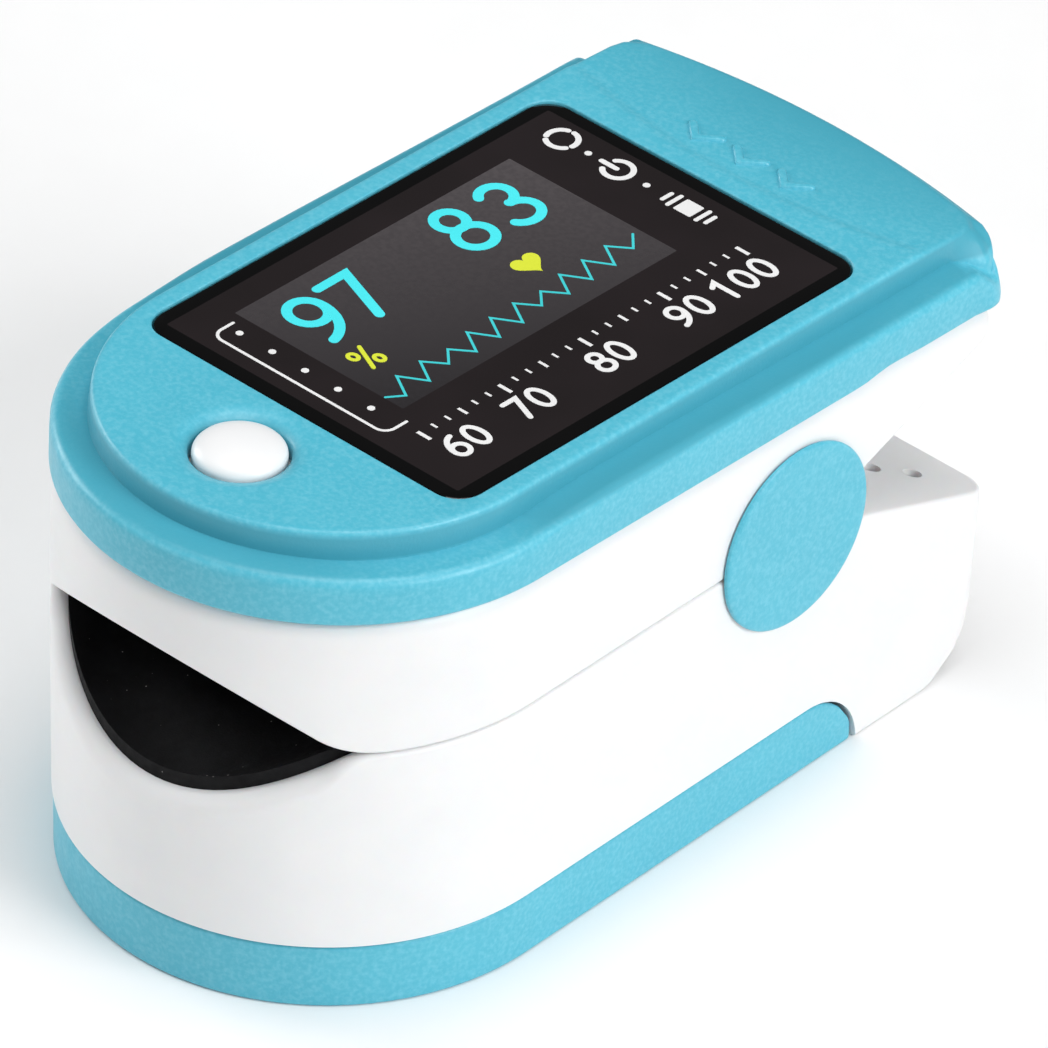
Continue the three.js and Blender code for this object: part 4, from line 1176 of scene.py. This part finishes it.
def digit(number):
    """Strokes of one of the digits in use, in a box 0.64 wide and 1 high; True marks a closed one."""
    six = [(oval(0.32, 0.31, 0.25, 0.27), True),
           (np.vstack((oval(0.62, 0.31, 0.55, 0.65, 100, 172, 14), [[0.07, 0.34]])), False)]
    shapes = {
        "0": [(oval(0.32, 0.5, 0.25, 0.46), True)],
        "1": [(np.array([(0.14, 0.80), (0.36, 0.95), (0.36, 0.04)]), False)],
        "3": [(oval(0.29, 0.735, 0.23, 0.225, 150, -85, 18), False),
              (oval(0.28, 0.28, 0.27, 0.24, 85, -150, 20), False)],
        "6": six,
        "7": [(np.array([(0.06, 0.95), (0.57, 0.95), (0.22, 0.04)]), False)],
        "8": [(oval(0.32, 0.735, 0.205, 0.215), True), (oval(0.32, 0.285, 0.26, 0.25), True)],
        "9": [(np.array((0.64, 1.0)) - path, closed) for path, closed in six],
    }
    return shapes[number]


def percent():
    """Strokes of a percent sign, as for a digit."""
    return [(oval(0.14, 0.78, 0.13, 0.17, steps=18), True), (oval(0.62, 0.22, 0.13, 0.17, steps=18), True),
            (np.array([(0.14, 0.02), (0.62, 0.98)]), False)]


def heart():
    """Outline of a heart in a unit box."""
    t = np.linspace(0, 2 * math.pi, 41)[:-1]
    x = 16 * np.sin(t) ** 3
    y = 13 * np.cos(t) - 5 * np.cos(2 * t) - 2 * np.cos(3 * t) - np.cos(4 * t)
    return np.column_stack((0.5 + x / 34, 0.52 + y / 34))


class Print:
    """Thin marks lying on the window."""

    def __init__(self):
        self.body = Solid()
        self.low = LENS_TOP_Z - 0.03
        self.high = LENS_TOP_Z + 0.02

    def on_window(self, points, along, across, size, lean):
        points = np.asarray(points, float)
        turn = math.radians(lean)
        a = along + size * (points[:, 0] * math.cos(turn) - points[:, 1] * math.sin(turn))
        up = size * (points[:, 1] * math.cos(turn) + points[:, 0] * math.sin(turn))
        return np.column_stack((across - up, a)) + MARKS_AT

    def area(self, points, along=0.0, across=0.0, size=1.0, lean=0.0):
        plan = self.on_window(points, along, across, size, lean)
        x, y = plan.T
        if np.dot(x, np.roll(y, -1)) < np.dot(y, np.roll(x, -1)):
            plan = plan[::-1]
        self.body.capped([self.body.ring(plan, self.low), self.body.ring(plan, self.high)])

    def stroke(self, path, closed, weight, along=0.0, across=0.0, size=1.0, lean=0.0):
        if not closed:
            self.area(thick(path, weight), along, across, size, lean)
            return
        path = self.on_window(path, along, across, size, lean)[:-1]
        ahead = np.roll(path, -1, axis=0) - np.roll(path, 1, axis=0)
        ahead /= np.linalg.norm(ahead, axis=1)[:, None]
        sides = np.column_stack((-ahead[:, 1], ahead[:, 0])) * weight * size / 2
        left, right = path + sides, path - sides
        rings = [self.body.ring(plan, z) for plan, z in (
            (left, self.low), (left, self.high), (right, self.high), (right, self.low))]
        self.body.stack(rings + rings[:1])

    def glyph(self, strokes, weight, along, across, size, lean=0.0):
        """Strokes that cross are printed at slightly different heights."""
        level = self.high
        for path, closed in strokes:
            self.stroke(path, closed, weight, along, across, size, lean)
            self.high += 0.012
        self.high = level

    def number(self, text, weight, along, across, size, lean=0.0, pitch=0.82):
        turn = math.radians(lean)
        for i, character in enumerate(text):
            step = i * pitch * size
            place = along + step * math.cos(turn), across - step * math.sin(turn)
            self.glyph(digit(character), weight, *place, size, lean)

    def make(self, name, material):
        piece = self.body.mesh(name, turn=True)
        finish_piece(piece, "upper_jaw", [material], sharp=30)


def make_display():
    readings = Print()
    readings.number("97", 0.14, -9.44, -3.75, 4.75, 0.5, 0.71)
    readings.number("83", 0.14, 3.52, -4.35, 4.75, -1.2, 0.86)
    readings.make("display_readings", CYAN)

    wave = Print()
    along = np.linspace(-10.0, 10.9, 21)
    swing = [(0.85 if i % 2 else -0.85) * (0.6 if i % 8 in (4, 5) else 1) for i in range(len(along))]
    path = np.vstack(([[-11.0, -0.1]], np.column_stack((along, swing)), [[12.0, 0.5]]))
    path[:, 1] -= np.linspace(2.05, 1.15, len(path))
    wave.area(thick(path, 0.16))
    wave.make("display_wave", TEAL)

    units = Print()
    units.glyph(percent(), 0.13, -9.6, -0.35, 2.1, 2.0)
    units.area(heart(), 4.1, -0.3, 2.3, 2.0)
    units.make("display_units", YELLOW)


def make_printed_marks():
    marks = Print()
    left, right, front, back, corner = 9.3, -4.7, -13.7, -11.9, 0.8
    bracket = np.vstack((
        [[back, left]], arc(front + corner, left - corner, corner, math.pi / 2, math.pi, 8),
        arc(front + corner, right + corner, corner, math.pi, 1.5 * math.pi, 8), [[back, right]]))
    marks.area(thick(bracket, 0.2))
    for i in range(5):
        marks.area(circle(0.24, -12.4, 8.3 - 2.66 * i, 20))
    row = 16.45
    for start in (20, 140, 260):
        marks.area(thick(oval(row, 9.2, 1.0, 1.0, start, start + 95, 14), 0.38))
    for across in (7.05, 2.3):
        marks.area(circle(0.24, row, across, 20))
    marks.area(thick(oval(row, 4.62, 0.95, 0.95, 128, 412, 36), 0.38))
    marks.area(thick([(row, 4.75), (row, 5.95)], 0.38))
    marks.area(rectangle(0.68, 0.68, 0.1, -1.1, row, 3))
    for side in (-1, 1):
        for i, reach in enumerate((0.62, 0.42)):
            across = -1.1 + side * (1.15 + 0.6 * i)
            marks.area(thick([(row - reach, across), (row + reach, across)], 0.3))
    scale_start, scale_end, divisions, foot = -12.2, 15.4, 24, 5.85
    for i in range(divisions + 1):
        along = scale_start + (scale_end - scale_start) * i / divisions
        length, weight = (1.05, 0.26) if i % 6 == 0 else ((0.75, 0.2) if i % 3 == 0 else (0.5, 0.16))
        marks.area(thick([(along, -foot), (along, -foot - length)], weight, False))
    size, pitch = 2.1, 0.80
    for i, text in enumerate(("60", "70", "80", "90", "100")):
        along = scale_start + (scale_end - scale_start) * i / 4
        width = size * (pitch * (len(text) - 1) + 0.64)
        start = min(max(along - width / 2, scale_start - 0.1), scale_end + 0.2 - width)
        marks.number(text, 0.17, start, 9.45, size, pitch=pitch)
    marks.make("window_printed_marks", MARKS)


def make_button():
    body = Solid()
    flange = TOP_Z - 1.7
    stem = [(0, 28.95), (1.3, 28.95), (1.3, flange - 0.5)]
    collar = [(3.85, flange - 0.5), (3.9, flange - 0.4), (3.9, flange), (BUTTON_R, flange)]
    shoulder = (0, 0.95), (0.03, 0.8), (0.1, 0.66), (0.24, 0.5), (0.5, 0.35), (0.9, 0.21), (1.4, 0.1)
    crown = [(BUTTON_R - inset, BUTTON_TOP_Z - drop) for inset, drop in shoulder]
    tip = [(0.7, BUTTON_TOP_Z - 0.02), (0, BUTTON_TOP_Z)]
    body.lathe(stem + collar + crown + tip, "z", (0, BUTTON_Y, 0))
    piece = body.mesh("power_button_cap", turn=True)
    finish_piece(piece, "button", [BUTTON], ["power_button"], sharp=50)


def make_side_caps():
    face = CAP_OUT_X - BODY_W
    profile = (
        (0, -0.44), (1.95, -0.44), (1.95, 0.05), (CAP_R - 0.1, 0.05), (CAP_R, 0.12), (CAP_R, face - 0.16),
        (CAP_R - 0.03, face - 0.08), (CAP_R - 0.1, face - 0.03), (CAP_R - 0.22, face), (CAP_R - 0.6, face),
        (0, face))
    for name, side in SIDES:
        body = Solid()
        body.lathe([(r, side * d) for r, d in profile], "x", (side * BODY_W, HINGE_Y, HINGE_Z), 128)
        piece = body.mesh(f"hinge_cap_{name}")
        finish_piece(piece, "lower_jaw", [BLUE], [f"side_cap_{name}"], sharp=50)


# ---- inside pieces ----------------------------------------------------------------------------


def make_cells():
    """Two cells lying head to tail, each with a button end, a sleeve and a flat end."""
    radius = 5.25
    for name, side in SIDES:
        towards = -side
        low, high = corners(f"battery_{name}")
        centre_x, centre_z = (low.x + high.x) / 2, (low.z + high.z) / 2
        flat = low.y if towards > 0 else high.y
        length = high.y - low.y
        body = Solid()
        flat_end = (0, 0.12), (3.2, 0.12), (3.5, 0.0), (4.1, 0.0), (4.2, 0.1)
        sleeve = (
            (4.2, 0.1), (4.95, 0.08), (5.18, 0.2), (radius, 0.45), (radius, length - 1.35),
            (5.15, length - 1.1), (4.9, length - 1.0), (4.4, length - 1.02))
        button_end = (
            (4.4, length - 1.02), (4.3, length - 0.85), (2.2, length - 0.8), (1.9, length - 0.7),
            (1.9, length - 0.12), (1.75, length), (0, length))
        for finish, profile in ((1, flat_end), (0, sleeve), (1, button_end)):
            body.finish = finish
            body.lathe([(r, towards * d) for r, d in profile], "y", (centre_x, flat, centre_z), 72)
        piece = body.mesh(f"aaa_cell_{name}")
        weld(piece)
        finish_piece(piece, "lower_jaw", [SLEEVE, STEEL], [f"battery_{name}"])


def weld(piece):
    """Merges points that share a place."""
    work = bmesh.new()
    work.from_mesh(piece.data)
    bmesh.ops.remove_doubles(work, verts=work.verts, dist=1e-7)
    bmesh.ops.recalc_face_normals(work, faces=work.faces)
    work.to_mesh(piece.data)
    work.free()


def coil_path(turns, length, start_r, end_r, steps=26):
    """Coil along Y whose radius runs from start_r to end_r."""
    t = np.linspace(0, 1, int(turns * steps))
    radius = start_r + (end_r - start_r) * t
    angle = 2 * math.pi * turns * t
    return np.column_stack((radius * np.cos(angle), length * t, radius * np.sin(angle)))


def make_contact_springs():
    wire_r = 0.22
    for name, cell, towards in (("front", "battery_left", 1), ("rear", "battery_right", -1)):
        low, high = corners(f"battery_spring_{name}")
        path = coil_path(3.5, high.y - low.y - 2 * wire_r, 3.4, 1.7)
        path[:, 1] *= towards
        start = low.y + wire_r if towards > 0 else high.y - wire_r
        cell_low, cell_high = corners(cell)
        path += ((cell_low.x + cell_high.x) / 2, start, (cell_low.z + cell_high.z) / 2)
        body = Solid()
        body.tube(path, wire_r)
        piece = body.mesh(f"contact_coil_{name}")
        finish_piece(piece, "lower_jaw", [STEEL], [f"battery_spring_{name}"], sharp=60)


def make_torsion_springs():
    """A coil round each hinge pin, with a leg down into the lower jaw and a short arm."""
    coil_r, wire_r, turns, pitch = 2.2, 0.28, 4, 0.68
    t = np.linspace(0, 1, turns * 28)
    angle = 2 * math.pi * turns * t
    for name, side in SIDES:
        coil = np.column_stack((side * t * turns * pitch, coil_r * np.cos(angle), coil_r * np.sin(angle)))
        leg = [(0, coil_r, z) for z in (-5.3, -4.2, -3.1, -2.0, -1.0)]
        arm = [(side * turns * pitch, coil_r, z) for z in (0.4, 0.9)]
        body = Solid()
        body.tube(np.vstack((leg, coil, arm)) + (side * 9.7, HINGE_Y, HINGE_Z), wire_r)
        piece = body.mesh(f"jaw_spring_{name}")
        finish_piece(piece, "lower_jaw", [STEEL], [f"torsion_spring_{name}"], sharp=60)


def make_flex_cable():
    """Film ribbon from the photodiode's board, up past the hinge, to the main board."""
    low, high = corners("flex_cable")
    route = np.array((
        (-13.35, 13.75), (-13.2, 13.75), (-9.5, 13.75), (-6.2, 13.75), (-4.4, 13.85), (-3.0, 14.4),
        (-2.4, 15.4), (-2.2, 17), (-2.0, 18.8), (-1.3, 20.6), (-0.4, 22.4), (0.1, 23.9), (-0.4, 25.0),
        (-1.6, 25.55), (-3.4, 25.75)))
    route[:, 0] += HINGE_Y
    t = np.linspace(0, len(route) - 1, 90)
    curve = np.column_stack([np.interp(t, np.arange(len(route)), route[:, i]) for i in range(2)])
    for _ in range(14):
        curve[1:-1] = (curve[:-2] + 2 * curve[1:-1] + curve[2:]) / 4
    ahead = np.gradient(curve, axis=0)
    ahead /= np.linalg.norm(ahead, axis=1)[:, None]
    side = np.column_stack((-ahead[:, 1], ahead[:, 0])) * 0.08
    body = Solid()
    rings = []
    section = (low.x, -1), (high.x, -1), (high.x, 1), (low.x, 1)
    for point, offset in zip(curve, side):
        rings.append(body.loop([(x, *(point + sign * offset)) for x, sign in section]))
    body.capped(rings)
    piece = body.mesh("flex_ribbon")
    finish_piece(piece, None, [FLEX], ["flex_cable"], sharp=40)
    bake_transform(piece)


def dress_cad_nodes():
    """Edges and finishes of the CAD nodes that are shown as they are."""
    finishes = (
        (INNER_WHITE, 0.12, ("battery_tray",)),
        (INNER_WHITE, 0.1, ("display_holder",)),
        (BOARD, 0.05, ("sensor_pcb", "main_pcb")),
        (CHIP_BLACK, 0.08, ("photodiode", "led_emitter", "mcu_chip", "amplifier_chip", "tact_switch",
                            "switch_plunger")),
        (PANEL, 0.08, ("display_panel",)),
        (PHOTO_RED, 0.15, ("sensor_window", "led_window")),
        (NICKEL, 0.3, ("crystal",)),
        (NICKEL, 0.08, ("contact_bridge", "contact_rear_left", "contact_rear_right")),
        (STEEL, 0.1, ("hinge_pin_left", "hinge_pin_right")),
        (STEEL, 0.04, [f"{kind}_screw_{i}" for kind in ("tray", "pcb") for i in (1, 2, 3, 4)]),
    )
    for material, edge, names in finishes:
        for name in names:
            node = frame["nodes"][name]
            node.data.materials.clear()
            node.data.materials.append(material)
            round_edges(node, edge, 35, 2)


# ---- stage, light and camera --------------------------------------------------------------------


def make_floor():
    body = Solid()
    body.capped([body.ring(rectangle(900, 900, 100, steps=4), z) for z in (-6, -0.02)])
    floor = body.mesh("studio_floor")
    paper = Finish("pale floor")
    paper.colour(paper.mix(paper.span(paper.noise(60.0), 0, 1), (0.90, 0.90, 0.90), (0.93, 0.93, 0.93)))
    paper.roughness(3.0, 0.6, 0.7)
    floor.data.materials.append(paper.material)


def add_area(name, place, size, power):
    """Soft light of that size and power in metres and watts, aimed at the device."""
    light = bpy.data.lights.new(name, "AREA")
    light.shape = "RECTANGLE"
    light.size, light.size_y = size
    light.energy = power
    lamp = bpy.data.objects.new(name, light)
    bpy.context.scene.collection.objects.link(lamp)
    lamp.location = place
    lamp.rotation_mode = "QUATERNION"
    lamp.rotation_quaternion = (Vector((0, 0, 0.015)) - Vector(place)).to_track_quat("-Z", "Y")


def make_world():
    """Pale sky, dimmer high up behind the device, so that its glossy window stays dark."""
    world = bpy.data.worlds.new("studio")
    bpy.context.scene.world = world
    world.use_nodes = True
    tree = world.node_tree
    sky = tree.nodes["Background"]
    place = tree.nodes.new("ShaderNodeTexCoord")
    facing = tree.nodes.new("ShaderNodeVectorMath")
    facing.operation = "DOT_PRODUCT"
    facing.inputs[1].default_value = (-0.54, 0.59, 0.60)
    tree.links.new(place.outputs["Generated"], facing.inputs[0])
    level = tree.nodes.new("ShaderNodeMapRange")
    limits = {"From Min": 0.1, "From Max": 0.9, "To Min": 0.35, "To Max": 0.07}
    for socket, value in limits.items():
        level.inputs[socket].default_value = value
    tree.links.new(facing.outputs["Value"], level.inputs["Value"])
    tree.links.new(level.outputs["Result"], sky.inputs["Strength"])
    sky.inputs["Color"].default_value = (1, 1, 1, 1)


def make_lights():
    add_area("key_right", (0.58, 0.08, 0.38), (0.35, 0.35), 3.0)
    add_area("overhead", (0.04, 0.02, 0.65), (0.45, 0.45), 2.1)
    add_area("fill_front", (-0.15, -0.60, 0.30), (0.4, 0.3), 0.4)
    add_area("fill_left", (-0.58, -0.10, 0.24), (0.3, 0.3), 1.7)
    bpy.context.scene.view_settings.view_transform = "Standard"


def make_camera():
    azimuth, elevation, roll = (math.radians(angle) for angle in (42.45, 36.93, 1.07))
    right = Vector((math.cos(azimuth), math.sin(azimuth), 0))
    away = Vector((math.sin(azimuth), -math.cos(azimuth), 0))
    back = away * math.cos(elevation) + Vector((0, 0, math.sin(elevation)))
    up = back.cross(right)
    turned_right = right * math.cos(roll) + up * math.sin(roll)
    turned_up = up * math.cos(roll) - right * math.sin(roll)
    data = bpy.data.cameras.new("camera")
    data.sensor_width = 36
    data.lens = 401.7
    data.shift_x, data.shift_y = 0.0397, 0.0084
    data.clip_start, data.clip_end = 0.05, 20
    camera = bpy.data.objects.new("camera", data)
    bpy.context.scene.collection.objects.link(camera)
    target = Vector((0, (HINGE_Y - 9.36) * MM, 15.41 * MM))
    distance = 0.6988
    axes = Matrix((turned_right, turned_up, back)).transposed().to_4x4()
    camera.matrix_world = Matrix.Translation(target + back * distance) @ axes
    bpy.context.scene.camera = camera


make_camera()
make_lower_shell()
make_battery_door()
make_lower_pad()
make_upper_shell()
make_upper_pad()
make_top_cover()
make_window()
make_display()
make_printed_marks()
make_button()
make_side_caps()
make_cells()
make_contact_springs()
make_torsion_springs()
make_flex_cable()
dress_cad_nodes()
make_floor()
make_world()
make_lights()
